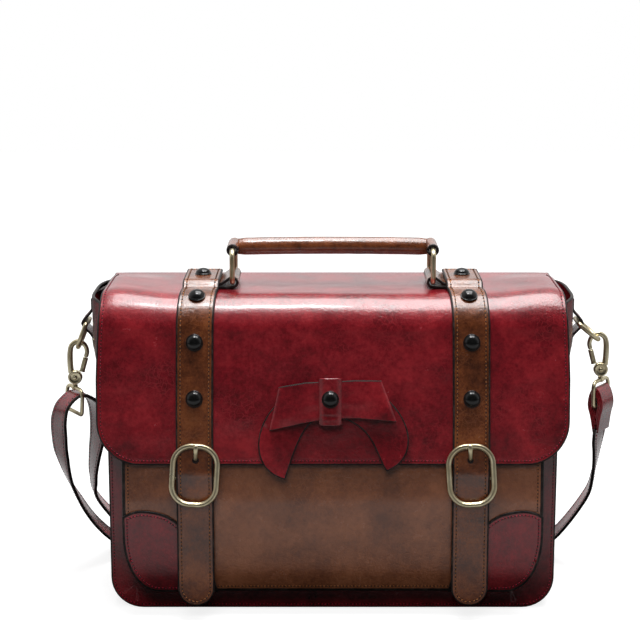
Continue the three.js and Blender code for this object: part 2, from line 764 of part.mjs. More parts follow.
// The anchor is folded round the ring's bottom bar, and its two layers run out under the belt.
function anchor(side) {
  const lower = flapTop + gap + anchorThickness;
  const upper = lower + anchorLayerGap;
  const centre = new THREE.Vector2(ringX, ringBottomHeight);
  const line = [
    new THREE.Vector2(anchorOuterEnd, lower),
    ...arcPoints(centre, ringWire + ringPlay, 270, 60, 12),
    new THREE.Vector2(ringX + 8, upper),
    new THREE.Vector2(anchorOuterEnd, upper),
  ];
  const strip = stripAcross(line, anchorThickness, anchorWidth, sideOf[side]);
  return mesh(`handle_anchor_${side}`, strip, materials.brown);
}

// A closed 2D loop with its own corner radius at the top and at the bottom.
function roundedLoop(halfWidth, top, bottom, topRadius, bottomRadius) {
  const corner = (x, y, radius, from) =>
    arcPoints(new THREE.Vector2(x - Math.sign(x) * radius, y), radius, from, from + 90, 5);
  return [
    ...corner(halfWidth, top - topRadius, topRadius, 0),
    ...corner(-halfWidth, top - topRadius, topRadius, 90),
    ...corner(-halfWidth, bottom + bottomRadius, bottomRadius, 180),
    ...corner(halfWidth, bottom + bottomRadius, bottomRadius, 270),
  ];
}

// A wire loop whose flat side faces left and right.
function sidewaysLoop(loop, radius) {
  const points = loop.map((p) => point(0, p.x, p.y));
  return wire(points, radius, point(1, 0, 0), true);
}

function handleRing(side) {
  const loop = roundedLoop(ringWidth / 2, ringTopHeight, ringBottomHeight, ringCorner, ringCorner);
  const ring = mesh(`handle_ring_${side}`, sidewaysLoop(loop, ringWire), materials.brass);
  ring.position.x = sideOf[side] * ringX;
  return ring;
}

// The leather loop at the end of the handle, round the ring's top bar.
function handleLoop(side) {
  const inner = ringWire + 2 * gap;
  const shape = new THREE.Shape();
  shape.absarc(0, 0, inner + anchorThickness, 0, 2 * Math.PI);
  const hole = new THREE.Path();
  hole.absarc(0, 0, inner, 0, 2 * Math.PI);
  shape.holes.push(hole);
  const loop = mesh(`handle_loop_${side}`, plate(shape, handleLoopWidth), materials.brown);
  return frontGroup(point(sideOf[side] * ringX, handleLoopWidth / 2, ringTopHeight), 0, loop);
}

function handleGrip() {
  const half = ringX - ringWire - 2 * gap - anchorThickness - gap;
  const steps = 10;
  const points = Array.from({ length: steps + 1 }, (_, i) => {
    const share = (2 * i) / steps - 1;
    return point(share * half, 0, handleHeight + handleArch * (1 - share ** 2));
  });
  return mesh("handle_grip", wire(points, handleDiameter / 2, point(0, 1, 0), false, 14), materials.brown);
}

// ---- Side rings and snap hooks ----

// The tab is sewn to the side above and below the ring's bar, and stands out round it.
function sideTab(side) {
  const onSide = (z) => new THREE.Vector2(bodyWidth / 2 + bulgeAt(0, z) + gap, z);
  const centre = new THREE.Vector2(dRingX, dRingHeight);
  const line = [
    ...[tabBottom, tabBottom + 6, dRingHeight - 9.5].map(onSide),
    ...arcPoints(centre, dRingWire + dRingPlay, -45, 45, 6),
    ...[dRingHeight + 9.5, tabTop].map(onSide),
  ];
  const strip = stripAcross(line, -tabThickness, tabWidth, sideOf[side]);
  return mesh(`side_tab_${side}`, strip, materials.red);
}

function dRing(side) {
  const half = dRingWidth / 2;
  const loop = roundedLoop(half, 0, -dRingReach, 2.5, half);
  return mesh(`d_ring_${side}`, sidewaysLoop(loop, dRingWire), materials.brass);
}

const hookLine = [
  [-3.2, 3.5], [-4, 10], [-4.3, 19.5], [-3, 25.3], [1.8, 28.3], [6.6, 26], [8.6, 21], [7.9, 16.4],
];
const gateLine = [[5.2, 4.9], [7.75, 15.7]];

// Points in the hook's own plane. The gate is on the side nearer the bag.
const inHookPlane = (side) => ([x, z]) => point(-sideOf[side] * x, 0, z);

function hook(side) {
  const curve = new THREE.CatmullRomCurve3(hookLine.map(inHookPlane(side)));
  const loop = wire(curve.getPoints(21), hookWire, point(0, 1, 0), false);
  const disc = new THREE.CylinderGeometry(hookDiscRadius, hookDiscRadius, hookDiscThickness, 24);
  return mesh(`snap_hook_${side}`, join(loop, disc), materials.brass);
}

function gate(side) {
  const rod = wire(gateLine.map(inHookPlane(side)), gateWire, point(0, 1, 0), false);
  return mesh(`hook_gate_${side}`, rod, materials.brass);
}

function rivet(side) {
  const head = new THREE.CylinderGeometry(rivetRadius, rivetRadius, rivetHeight, 14);
  head.translate(0, -hookDiscThickness / 2 - gap - rivetHeight / 2, 0);
  return mesh(`hook_rivet_${side}`, head, materials.brass);
}

// The eye hangs on a post below the disc and turns about it.
function eye(side) {
  const loop = roundedLoop(eyeWidth / 2, eyeTop, eyeBottom, eyeTopCorner, eyeBottomCorner);
  const postTop = -hookDiscRadius - gap;
  const postHeight = postTop - eyeTop;
  const post = new THREE.CylinderGeometry(postRadius, postRadius, postHeight, 14);
  post.rotateX(Math.PI / 2).translate(0, 0, postTop - postHeight / 2);
  return mesh(`swivel_eye_${side}`, join(sidewaysLoop(loop, eyeWire), post), materials.brass);
}

// The end of the strap, a loose pointed fold round the right eye's bottom bar, stitched to itself.
// Each profile is half of one, as distances out and up from the bar.
const foldOutside = [[0, 15.6], [3.6, 13.2], [6.2, 6], [6.8, -1], [4.6, -7.6], [2.6, -strapEndLength]];
const foldInside = [[0, 12.6], [1.9, 11.6], [3.9, 5.4], [4.4, -0.8], [2.2, -6.4], [0, -8.4]];

function mirrored(half) {
  const left = half.map(([x, y]) => new THREE.Vector2(-x, y));
  const right = half.map(([x, y]) => new THREE.Vector2(x, y)).reverse();
  return [...left, ...right.filter((p) => p.x !== 0)];
}

function strapEnd() {
  const shape = new THREE.Shape(mirrored(foldOutside));
  shape.holes.push(new THREE.Path(mirrored(foldInside)));
  const fold = mesh("strap_end", plate(shape, strapWidth), materials.red);
  return frontGroup(point(0, strapWidth / 2, eyeBottom), 0, fold);
}

function clip(side) {
  const mirror = -sideOf[side];
  const ring = new THREE.Group();
  ring.position.set(sideOf[side] * dRingX, 0, dRingHeight);
  ring.rotation.y = mirror * dRingLean[side] * degree;
  const seat = new THREE.Group();
  seat.position.z = -dRingReach;
  seat.rotation.y = -ring.rotation.y + hookTilt[side] * degree;
  const body = new THREE.Group();
  body.position.set(-mirror * hookSeat.x, 0, -hookSeat.y);
  const turned = new THREE.Group();
  turned.rotation.z = eyeYaw[side] * degree;
  turned.add(eye(side));
  if (side === "right") turned.add(strapEnd());
  body.add(hook(side), gate(side), rivet(side), turned);
  seat.add(body);
  ring.add(dRing(side), seat);
  return ring;
}

// ---- Shoulder strap ----

// The strap's centre line from the right eye, behind the bag, through the left eye and back to the slider:
// X, Y and Z, and how far its width is turned from front-to-back, in degrees.
const strapRoute = [
  [206.8, 0, 129.3, 36], [206.8, 1, 122, 34], [207.6, 9, 110, 24], [207.2, 23, 84.5, 10],
  [203, 34, 62, 4], [183.5, 57, 23, 0], [166, 70, 8.5, 0], [144, 80, 2.4, 0],
  [116, 87, 1.6, 0], [60, 94, 1.6, 0], [0, 97, 1.6, 0],
  [-28, 97, 2.4, 0], [-42, 96.5, 3.9, 0], [-58, 95.5, 3.9, 0], [-74, 93, 2.4, 0],
  [-100, 88, 1.6, 0], [-130, 81, 1.8, 0], [-158, 72, 5.5, 0], [-177, 62, 16.5, 0],
  [-191, 50, 34, -3], [-201.5, 39, 55, -7], [-209.3, 27, 78, -20], [-212.8, 15, 102, -39],
  [-212.4, 4, 123, -43], [-210.6, -3, 137, -40], [-206.4, -5, 148.5, -36],
  [-197.4, 0, 155.6, -36], [-188, 8.6, 149.5, -36], [-185, 15.5, 140, -38],
  [-185, 24, 127, -40], [-187, 33, 111, -38], [-191, 43, 92, -30], [-193.4, 51, 72, -22],
  [-191, 60, 52, -10], [-168, 86, 15, 0], [-148, 102, 4, 0], [-118, 111, 2.4, 0],
  [-90, 108, 5.6, 0], [-68, 101, 8.4, 0], [-46, 97, 9.2, 0],
];
const strapStepsPerPoint = 2;
const sliderCentre = point(-50, 96, 0);

function shoulderStrap() {
  const route = strapRoute.map(([x, y, z]) => point(x, y, z));
  const curve = new THREE.CatmullRomCurve3(route, false, "catmullrom");
  const last = strapRoute.length - 1;
  const steps = strapStepsPerPoint * last;
  const frame = (row) => {
    const place = row / strapStepsPerPoint;
    const index = Math.min(Math.floor(place), last - 1);
    const [from, to] = [strapRoute[index][3], strapRoute[index + 1][3]];
    const turn = THREE.MathUtils.lerp(from, to, place - index) * degree;
    const along = curve.getTangent(row / steps);
    const across = point(Math.sin(turn), Math.cos(turn), 0);
    across.addScaledVector(along, -across.dot(along)).normalize();
    return { centre: curve.getPoint(row / steps), across, out: along.clone().cross(across) };
  };
  const surface = (shift) => (column, row) => {
    const { centre, across, out } = frame(row);
    return centre.addScaledVector(across, (column - 0.5) * strapWidth).addScaledVector(out, shift);
  };
  const geometry = sheet(1, steps, surface(-strapThickness / 2), surface(strapThickness / 2));
  return mesh("shoulder_strap", geometry, materials.red);
}

// The slider's outer frame lies under the strap and its centre bar crosses over it.
function slider() {
  const halfWidth = strapWidth / 2 + gap + 1.2 + sliderWire;
  const low = sliderWire + gap / 2;
  const high = low + 2 * sliderWire + strapThickness + 2 * gap;
  const loop = roundedLoop(halfWidth, sliderLength / 2, -sliderLength / 2, 2, 2);
  const frame = wire(loop.map((p) => point(p.y, p.x, low)), sliderWire, point(0, 0, 1), true);
  const ends = [-1, 1].map((end) =>
    new THREE.BoxGeometry(2 * sliderWire, 2 * sliderWire, high + sliderWire - low)
      .translate(0, end * halfWidth, (high + sliderWire + low) / 2));
  const bar = new THREE.CylinderGeometry(sliderWire, sliderWire, 2 * halfWidth, 10).translate(0, 0, high);
  const made = mesh("strap_slider", join(frame, bar, ...ends), materials.brass);
  made.position.copy(sliderCentre);
  return made;
}

// ---- The whole bag ----

const bag = new THREE.Group();
bag.add(...panels(), gusset(), flapHem(), ...insides());
bag.add(pocketPanel(), pocketGusset(), flapCover(), bow(), handleGrip());
for (const side of ["left", "right"]) {
  bag.add(cornerPatch(side), snapSocket(side), belt(side), tongue(side), snapStud(side));
  bag.add(buckle(side), ...beltStuds(side), anchor(side), handleRing(side), handleLoop(side));
  bag.add(sideTab(side), clip(side));
}
bag.add(shoulderStrap(), slider());

export default bag;
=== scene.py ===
"""A satchel bag of glossy red and brown leather, rebuilt over its CAD frame.

Sizes are in millimetres until a mesh is made, which is in metres.
X is right, Y is back and Z is up, and the bag stands on Z = 0.
"""

import math

import bpy
import numpy as np
from mathutils import Matrix, Vector, noise
from mathutils.geometry import delaunay_2d_cdt


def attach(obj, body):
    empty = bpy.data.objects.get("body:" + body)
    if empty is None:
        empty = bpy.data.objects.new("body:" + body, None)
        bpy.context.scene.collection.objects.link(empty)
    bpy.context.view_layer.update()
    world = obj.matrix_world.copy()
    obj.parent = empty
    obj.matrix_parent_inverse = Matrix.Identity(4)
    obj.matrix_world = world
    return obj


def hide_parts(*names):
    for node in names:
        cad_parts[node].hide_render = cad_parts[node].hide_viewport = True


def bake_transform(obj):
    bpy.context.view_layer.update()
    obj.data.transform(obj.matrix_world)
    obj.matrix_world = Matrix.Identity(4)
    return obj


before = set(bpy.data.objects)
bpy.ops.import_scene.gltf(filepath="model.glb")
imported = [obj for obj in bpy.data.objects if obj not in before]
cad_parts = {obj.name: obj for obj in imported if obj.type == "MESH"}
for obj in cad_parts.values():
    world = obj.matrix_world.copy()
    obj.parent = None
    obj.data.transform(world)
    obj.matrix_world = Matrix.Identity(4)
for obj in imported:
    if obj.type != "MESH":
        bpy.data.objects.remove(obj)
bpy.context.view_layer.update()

MM = 0.001
SIDES = {"left": -1, "right": 1}
GAP = 0.3


# ---- Sizes of the bag ----

BODY_HALF = 168
BODY_FRONT, BODY_BACK = -50, 50
BODY_HEIGHT = 238
FRONT_HEIGHT = 226
BODY_CORNER = (24, 24)
PANEL_THICKNESS = 2.6
GUSSET_THICKNESS = 2.4
GUSSET_BULGE = 13
BULGE_START, BULGE_FULL = 140, 205
LINING_HEIGHT = 222
LINING_FLOOR, LINING_REACH = 5.7, 46.8
LINING_THICKNESS = 0.8

POCKET_HALF = 156
POCKET_BOTTOM, POCKET_TOP = 19.5, 148
POCKET_FACE, POCKET_MOUTH = -70, -64
POCKET_TAPER = 90
POCKET_CORNER = (27, 45)
POCKET_THICKNESS = 2.4
POCKET_SIDE_DEPTH = 17
PATCH_SIZE, PATCH_THICKNESS = (70, 60), 1.3

FLAP_HALF = 174
HEM_HALF = 171
HEM_BOTTOM = 205
FLAP_HEM = 32
FLAP_THICKNESS = 3
FLAP_INSIDE = 238.3
FLAP_TOP = FLAP_INSIDE + FLAP_THICKNESS
BEND_CENTRE = (-33, 215.3)
BEND_RADIUS = 23
FLAP_FOOT = (-69, 119)
FLAP_CORNER = 32
FLAP_LEAN = math.atan(13 / 96.3)
FALL_TOP = 210

BELT_WIDTH = 27.5
BELT_THICKNESS = 2.4
BELT_TOP_X, BELT_FRONT_X = 98.2, 101.5
BELT_BACK_EDGE = 24
BELT_ON_ANCHOR = 246.7
TONGUE_PLANE = -72.3
TONGUE_TIP = 12
STUD_RADIUS, STUD_HEIGHT = 6.3, 4.5
STUD_BEND_ANGLE = 27
STUDS_ON_FALL = (210, 169)
BUCKLE_SIZE = (36.5, 47)
BUCKLE_CENTRE = 113
BUCKLE_BAR, BUCKLE_DEPTH, BUCKLE_CORNER = 4, 3.0, 13.5
BUCKLE_TILT = 3.5
PRONG_REACH = 12.4

BOW_PLACE = (-2, 169)
TAIL_THICKNESS, LOOP_THICKNESS, WRAP_THICKNESS = 1.6, 1.3, 1.8
HANDLE_RADIUS, HANDLE_HALF = 6.5, 71.6
RING_X, RING_LOW, RING_HIGH = 75, 246.5, 270
RING_HALF = 24.2
RING_WIRE = 1.9
ANCHOR_WIDTH, ANCHOR_END, ANCHOR_THICKNESS = 42, 112.4, 2.1

D_RING_X, D_RING_Z = 187, 212.5
D_RING_WIRE, D_RING_REACH = 1.8, 21.5
D_RING_HALF = 12
TAB_THICKNESS = 1.8
HOOK_WIRE, GATE_WIRE, EYE_WIRE = 1.9, 1.75, 1.5
D_RING_LEAN = {"left": 21, "right": 50}
HOOK_TILT = {"left": 3, "right": -2}
EYE_YAW = {"left": 36, "right": -36}

# How far in from the rim each seam lies, and how deep its thread sinks into the leather
PANEL_SEAM, POCKET_SEAM, PATCH_SEAM = 2.8, 4.6, 3.6
FLAP_SEAM, BELT_SEAM, STRAP_SEAM = 3.4, 3.3, 3.1
THREAD_SINK = 0.25

STRAP_WIDTH, STRAP_THICKNESS = 19, 2.4
# X, Y, Z of the strap's middle from its right end to the slider, and how far its width is turned
STRAP_ROUTE = [
    (206.8, 0, 129.3, 36), (206.8, 1, 122, 34), (207.6, 9, 110, 24), (207.2, 23, 84.5, 10),
    (203, 34, 62, 4), (183.5, 57, 23, 0), (166, 70, 8.5, 0), (144, 80, 2.4, 0),
    (116, 87, 1.6, 0), (60, 94, 1.6, 0), (0, 97, 1.6, 0),
    (-28, 97, 2.4, 0), (-42, 96.5, 3.9, 0), (-58, 95.5, 3.9, 0), (-74, 93, 2.4, 0),
    (-100, 88, 1.6, 0), (-130, 81, 1.8, 0), (-158, 72, 5.5, 0), (-177, 62, 16.5, 0),
    (-191, 50, 34, -3), (-201.5, 39, 55, -7), (-209.3, 27, 78, -20), (-212.8, 15, 102, -39),
    (-212.4, 4, 123, -43), (-210.6, -3, 137, -40), (-206.4, -5, 148.5, -36),
    (-197.4, 0, 155.6, -36), (-188, 8.6, 149.5, -36), (-185, 15.5, 140, -38),
    (-185, 24, 127, -40), (-187, 33, 111, -38), (-191, 43, 92, -30), (-193.4, 51, 72, -22),
    (-191, 60, 52, -10), (-168, 86, 15, 0), (-148, 102, 4, 0), (-118, 111, 2.4, 0),
    (-90, 108, 5.6, 0), (-68, 101, 8.4, 0), (-46, 97, 9.2, 0),
]
SLIDER_PLACE = (-50, 96)


# ---- Camera and lamps ----

# The camera's place in metres, its lens and sensor in mm, and its dip in degrees
CAMERA_PLACE = (-0.00952, -1.27294, 0.48625)
CAMERA_LENS, CAMERA_SENSOR, CAMERA_DIP = 95.8, 36, 12.1
# Each lamp's place, target and size in metres, its watts, and whether it shows in reflections
LAMPS = {
    "lamp_top": ((0.18, 0.05, 1.5), (0.18, 0, 0.2), (1.05, 1.1), 31, True),
    "lamp_small": ((-0.08, -0.22, 1.45), (0, 0, 0.15), (0.2, 0.2), 5, True),
    "lamp_front": ((-0.2, -1.6, 1.7), (0, 0, 0.12), (1.2, 0.9), 18.5, False),
}


def add_object(name, data):
    made = bpy.data.objects.new(name, data)
    bpy.context.scene.collection.objects.link(made)
    return made


def make_camera():
    data = bpy.data.cameras.new("camera")
    data.lens = CAMERA_LENS
    data.sensor_width = CAMERA_SENSOR
    camera = add_object("camera", data)
    camera.location = CAMERA_PLACE
    camera.rotation_euler = (math.radians(90 - CAMERA_DIP), 0, 0)
    bpy.context.scene.camera = camera


def make_lamp(name, place, target, size, power, glossy):
    data = bpy.data.lights.new(name, "AREA")
    data.shape = "RECTANGLE"
    data.size, data.size_y = size
    data.energy = power
    lamp = add_object(name, data)
    lamp.location = place
    lamp.rotation_euler = (Vector(target) - Vector(place)).to_track_quat("-Z", "Y").to_euler()
    lamp.visible_glossy = glossy
    lamp.visible_camera = False


# ---- Node helpers ----

def node(near, kind, inputs=None, **settings):
    """A new node in the tree of another node or socket, or in a tree itself.

    An input is a number, a colour, or a socket to link from.
    """
    tree = near.id_data
    made = tree.nodes.new("ShaderNode" + kind)
    for name, value in settings.items():
        setattr(made, name, value)
    for name, value in (inputs or {}).items():
        if isinstance(value, bpy.types.NodeSocket):
            tree.links.new(value, made.inputs[name])
        else:
            made.inputs[name].default_value = value
    return made


def rgba(color):
    """A colour, or a number for a grey, at full alpha."""
    return (*color, 1) if isinstance(color, tuple) else (color, color, color, 1)


def ramp(factor, stops):
    """A colour ramp with stops of (position, colour or grey number)."""
    made = node(factor, "ValToRGB", {0: factor})
    elements = made.color_ramp.elements
    while len(elements) < len(stops):
        elements.new(0.5)
    for element, (position, color) in zip(elements, stops):
        element.position = position
        element.color = rgba(color)
    return made.outputs["Color"]


def maths(operation, a, b):
    return node(a, "Math", {0: a, 1: b}, operation=operation).outputs[0]


def scaled(value, factor):
    return maths("MULTIPLY", value, factor)


def blended(factor, a, b):
    return node(a, "Mix", {0: factor, 6: a, 7: b}, data_type="RGBA").outputs[2]


def new_material(name, **settings):
    material = bpy.data.materials.new(name)
    material.use_nodes = True
    shader = material.node_tree.nodes["Principled BSDF"]
    for socket, value in settings.items():
        shader.inputs[socket.replace("_", " ")].default_value = value
    return material, shader


def link_surface(shader, color, height, strength, distance, shine=None):
    """Links a material's colour, its bump and, where it varies, its roughness."""
    bump = node(shader, "Bump", {"Height": height, "Strength": strength, "Distance": distance})
    links = shader.id_data.links
    links.new(color, shader.inputs["Base Color"])
    links.new(bump.outputs[0], shader.inputs["Normal"])
    if shine is not None:
        links.new(shine, shader.inputs["Roughness"])


def object_point(near, scale=(1, 1, 1)):
    place = node(near, "TexCoord").outputs["Object"]
    return node(near, "Mapping", {"Vector": place, "Scale": scale}).outputs[0]


def noise_at(place, scale, detail=4, roughness=0.55, distortion=0):
    inputs = {"Vector": place, "Scale": scale, "Detail": detail, "Roughness": roughness,
              "Distortion": distortion}
    return node(place, "TexNoise", inputs).outputs["Fac"]


def waves_at(place, scale, distortion, direction):
    inputs = {"Vector": place, "Scale": scale, "Distortion": distortion}
    return node(place, "TexWave", inputs, bands_direction=direction).outputs["Fac"]


def crinkles_at(place, scale, warp):
    """Thin lines between the cells of a warped pattern: 1 in a line and 0 between lines."""
    bend = node(place, "TexNoise", {"Vector": place, "Scale": scale * 0.6, "Detail": 3})
    moved = {0: bend.outputs["Color"], 1: (warp,) * 3}
    moved = node(place, "VectorMath", moved, operation="MULTIPLY").outputs[0]
    warped = node(place, "VectorMath", {0: place, 1: moved}, operation="ADD").outputs[0]
    cells = {"Vector": warped, "Scale": scale}
    cells = node(place, "TexVoronoi", cells, feature="DISTANCE_TO_EDGE").outputs["Distance"]
    return ramp(cells, [(0, 1), (0.09, 0)])


# ---- Materials ----

def leather_material(name, dark, middle, light, roughness=0.25, cloud=26):
    """Smooth coated leather: clouded colour, a net of creases, a faint grain under the gloss."""
    crease_scale, grain_scale, ripple_scale, dulling = 210, 620, 110, 0.12
    material, shader = new_material(name, Coat_Weight=0.5, Coat_Roughness=0.12, IOR=1.5)
    place = object_point(shader)
    clouds = noise_at(place, cloud, 7, 0.62, 0.5)
    patches = noise_at(place, cloud * 3.4, 5, 0.6)
    fine = noise_at(place, cloud * 14, 4, 0.65)
    mottle = blended(0.25, blended(0.3, clouds, patches), fine)
    color = ramp(mottle, [(0.4, dark), (0.5, middle), (0.6, light)])
    where = ramp(noise_at(place, cloud * 0.9, 4), [(0.42, 0), (0.62, 1)])
    creases = maths("MULTIPLY", crinkles_at(place, crease_scale, 0.012), where)
    color = blended(scaled(creases, 0.6), color, rgba(light))
    shine = maths("ADD", scaled(patches, dulling), roughness - dulling / 2)
    grain = scaled(noise_at(place, grain_scale, 4, 0.65), 0.6)
    ripples = scaled(noise_at(place, ripple_scale, 5, 0.55), 0.55)
    height = maths("ADD", scaled(creases, -0.15), grain)
    height = maths("ADD", height, ripples)
    link_surface(shader, color, height, 0.7, 0.0006, shine)
    return material


def paint_material(name, color, worn):
    """Edge paint: nearly black, with paler rubbed places."""
    material, shader = new_material(name, Specular_IOR_Level=0.22)
    rub = noise_at(object_point(shader), 220, 5, 0.65)
    shade = ramp(rub, [(0.45, color), (0.75, worn)])
    shine = ramp(rub, [(0.3, 0.35), (0.7, 0.55)])
    link_surface(shader, shade, rub, 0.35, 0.0004, shine)
    return material


def thread_material(name, color, shade):
    """Waxed thread: a twist of two plies, with painted shade in the grooves between them."""
    material, shader = new_material(name, Roughness=0.7, Specular_IOR_Level=0.15)
    twist = waves_at(object_point(shader), 420, 1.5, "DIAGONAL")
    plies = ramp(twist, [(0.2, shade), (0.7, color)])
    link_surface(shader, plies, twist, 0.4, 0.0002)
    return material


def brass_material(name, pale, brown):
    """Brushed antique brass, browner and duller in places."""
    material, shader = new_material(name, Metallic=1)
    tarnish = noise_at(object_point(shader), 90, 4, 0.5, 0.3)
    color = ramp(tarnish, [(0.35, brown), (0.6, pale)])
    shine = ramp(tarnish, [(0.3, 0.4), (0.7, 0.27)])
    brushing = noise_at(object_point(shader, (1, 1, 6)), 700, 2)
    link_surface(shader, color, brushing, 0.12, 0.0003, shine)
    return material


def gloss_material(name):
    """Black enamel with the faintest orange-peel."""
    material, shader = new_material(name, IOR=1.38)
    specks = noise_at(object_point(shader), 400, 3)
    color = ramp(specks, [(0.3, 0.003), (0.8, 0.008)])
    shine = ramp(specks, [(0.3, 0.04), (0.8, 0.09)])
    link_surface(shader, color, specks, 0.05, 0.0002, shine)
    return material


def cloth_material(name, dark, light):
    """Plain-woven lining cloth."""
    material, shader = new_material(name, Roughness=0.85, Sheen_Weight=0.3)
    place = object_point(shader)
    warp, weft = (waves_at(place, 330, 0.6, direction) for direction in "XZ")
    weave = maths("MULTIPLY", warp, weft)
    dye = scaled(noise_at(place, 60), 0.4)
    shade = maths("ADD", scaled(weave, 0.6), dye)
    link_surface(shader, ramp(shade, [(0.2, dark), (0.8, light)]), weave, 0.5, 0.0003)
    return material


RED = leather_material(
    "red_leather", (0.085, 0.003, 0.006), (0.17, 0.006, 0.011), (0.27, 0.013, 0.019))
# A darker copy of the red leather for the front and back panels: painted shade, as they are of the
# same red leather as the rest of the bag
SHADED_RED = leather_material(
    "shaded_red_leather", (0.055, 0.003, 0.004), (0.125, 0.005, 0.009), (0.2, 0.01, 0.015))
BELT_BROWN = leather_material(
    "belt_leather", (0.05, 0.013, 0.004), (0.12, 0.031, 0.009), (0.21, 0.062, 0.018), cloud=40)
POCKET_BROWN = leather_material(
    "pocket_leather", (0.115, 0.033, 0.012), (0.19, 0.06, 0.023), (0.27, 0.094, 0.04),
    roughness=0.26, cloud=22)
EDGE = paint_material("edge_paint", (0.008, 0.006, 0.006), (0.05, 0.038, 0.034))
RED_THREAD = thread_material("red_thread", (0.5, 0.035, 0.07), (0.2, 0.01, 0.02))
ORANGE_THREAD = thread_material("orange_thread", (0.42, 0.17, 0.06), (0.19, 0.06, 0.02))
# Near-black for the needle holes and the prong's hole: painted shade in them
HOLE_SHADE = paint_material("needle_hole_shade", (0.006, 0.003, 0.003), (0.02, 0.009, 0.008))
BRASS = brass_material("antique_brass", (0.68, 0.61, 0.42), (0.5, 0.42, 0.26))
GLOSS = gloss_material("black_gloss")
LINING = cloth_material("lining_fabric", (0.030, 0.020, 0.017), (0.085, 0.060, 0.050))
CARD = paint_material("base_card", (0.11, 0.085, 0.055), (0.19, 0.15, 0.10))


# ---- Lines ----

def smooth(start, end, value):
    share = min(max((value - start) / (end - start), 0), 1)
    return share * share * (3 - 2 * share)


def lerp(a, b, share):
    return a + (b - a) * share


def arc(centre, radius, start, end, steps):
    """Points of a circle or an ellipse's arc, between two angles in degrees."""
    wide, tall = radius if isinstance(radius, tuple) else (radius, radius)
    x, y = centre
    angles = [math.radians(lerp(start, end, i / steps)) for i in range(steps + 1)]
    return [Vector((x + wide * math.cos(a), y + tall * math.sin(a))) for a in angles]


def bezier(points, steps=12):
    """Points of a Bezier curve with three or four controls, without its first."""
    made = []
    for i in range(1, steps + 1):
        level = [Vector(p) for p in points]
        while len(level) > 1:
            level = [a.lerp(b, i / steps) for a, b in zip(level, level[1:])]
        made.append(level[0])
    return made


def vectors(points):
    return [Vector(p) for p in points]


def runs_of(points):
    """How far along a line each of its points lies."""
    runs = [0]
    for a, b in zip(points, points[1:]):
        runs.append(runs[-1] + (b - a).length)
    return runs


def span_at(runs, run):
    """The number of the span that a run lies in, and the share of that span before it."""
    i = min(max(int(np.searchsorted(runs, run, "right")) - 1, 0), len(runs) - 2)
    return i, (run - runs[i]) / max(runs[i + 1] - runs[i], 1e-9)


def softened(points, rounds=2):
    """A line with its corners cut round, and its ends kept."""
    points = vectors(points)
    for _ in range(rounds):
        inner = []
        for a, b in zip(points, points[1:]):
            inner += [a.lerp(b, 0.25), a.lerp(b, 0.75)]
        points = [points[0], *inner[1:-1], points[-1]]
    return points


def rounded_box(width, height, radius, steps=6):
    """A rounded rectangle about the origin, counter-clockwise."""
    w, h = width / 2 - radius, height / 2 - radius
    corners = [(w, -h, -90), (w, h, 0), (-w, h, 90), (-w, -h, 180)]
    return [p for x, y, a in corners for p in arc((x, y), radius, a, a + 90, steps)]


def inset(outline, distance):
    """A closed counter-clockwise outline, moved in."""
    made = []
    count = len(outline)
    for i, p in enumerate(outline):
        before = (p - outline[i - 1]).normalized()
        after = (outline[(i + 1) % count] - p).normalized()
        normal = Vector((-before.y - after.y, before.x + after.x)).normalized()
        stretch = max(normal.dot(Vector((-after.y, after.x))), 0.4)
        made.append(p + normal * (distance / stretch))
    return made


def filled(outline, counts):
    """The outline with each of its edges cut into its count of equal steps."""
    made = []
    for i, p in enumerate(outline):
        after = outline[(i + 1) % len(outline)]
        made += [p.lerp(after, k / counts[i]) for k in range(counts[i])]
    return made


def counts_for(outline, spacing):
    lengths = [(outline[(i + 1) % len(outline)] - p).length for i, p in enumerate(outline)]
    return [max(1, math.ceil(length / spacing)) for length in lengths]


def strip(low, high, length):
    """The outline of a straight strip, from one width to another and from 0 to its length."""
    return [(low, 0), (high, 0), (high, length), (low, length)]


class Profile:
    """A side view as a line of 2-D points. Its outside is on the right of its direction."""

    def __init__(self, points):
        kept = [Vector(points[0])]
        for p in points[1:]:
            if (Vector(p) - kept[-1]).length > 1e-4:
                kept.append(Vector(p))
        self.points = kept
        self.runs = runs_of(kept)
        self.length = self.runs[-1]
        along = [(b - a).normalized() for a, b in zip(kept, kept[1:])]
        pairs = zip([along[0], *along], [*along, along[-1]])
        self.normals = [Vector((a.y + b.y, -a.x - b.x)).normalized() for a, b in pairs]

    def at(self, run, out=0):
        """The point a run along the line, moved out by a distance."""
        i, share = span_at(self.runs, min(max(run, 0), self.length))
        normal = self.normals[i].lerp(self.normals[i + 1], share).normalized()
        return self.points[i].lerp(self.points[i + 1], share) + normal * out


# ---- Meshes ----

def make_piece(name, points, faces, materials, indices=None):
    """An object from points in millimetres, turned to face out."""
    corners = np.array([tuple(p) for p in points]) * MM
    volume = 0.0
    for face in faces:
        a, b, c = (corners[face[k]] for k in (0, 1, 2))
        volume += float(np.dot(a, np.cross(b, c)))
        if len(face) == 4:
            volume += float(np.dot(a, np.cross(c, corners[face[3]])))
    if volume < 0:
        faces = [tuple(reversed(f)) for f in faces]
    mesh = bpy.data.meshes.new(name)
    mesh.from_pydata([tuple(p) for p in corners], [], faces)
    for material in materials:
        mesh.materials.append(material)
    if indices is not None:
        mesh.polygons.foreach_set("material_index", indices)
    mesh.shade_smooth()
    mesh.update()
    return add_object(name, mesh)


def inside(edge, x, y):
    """Which of the points lie inside a closed line."""
    found = np.zeros(len(x), bool)
    for (ax, ay), (bx, by) in zip(edge, np.roll(edge, -1, 0)):
        if ay != by:
            found ^= ((ay > y) != (by > y)) & (x < (bx - ax) * (y - ay) / (by - ay) + ax)
    return found


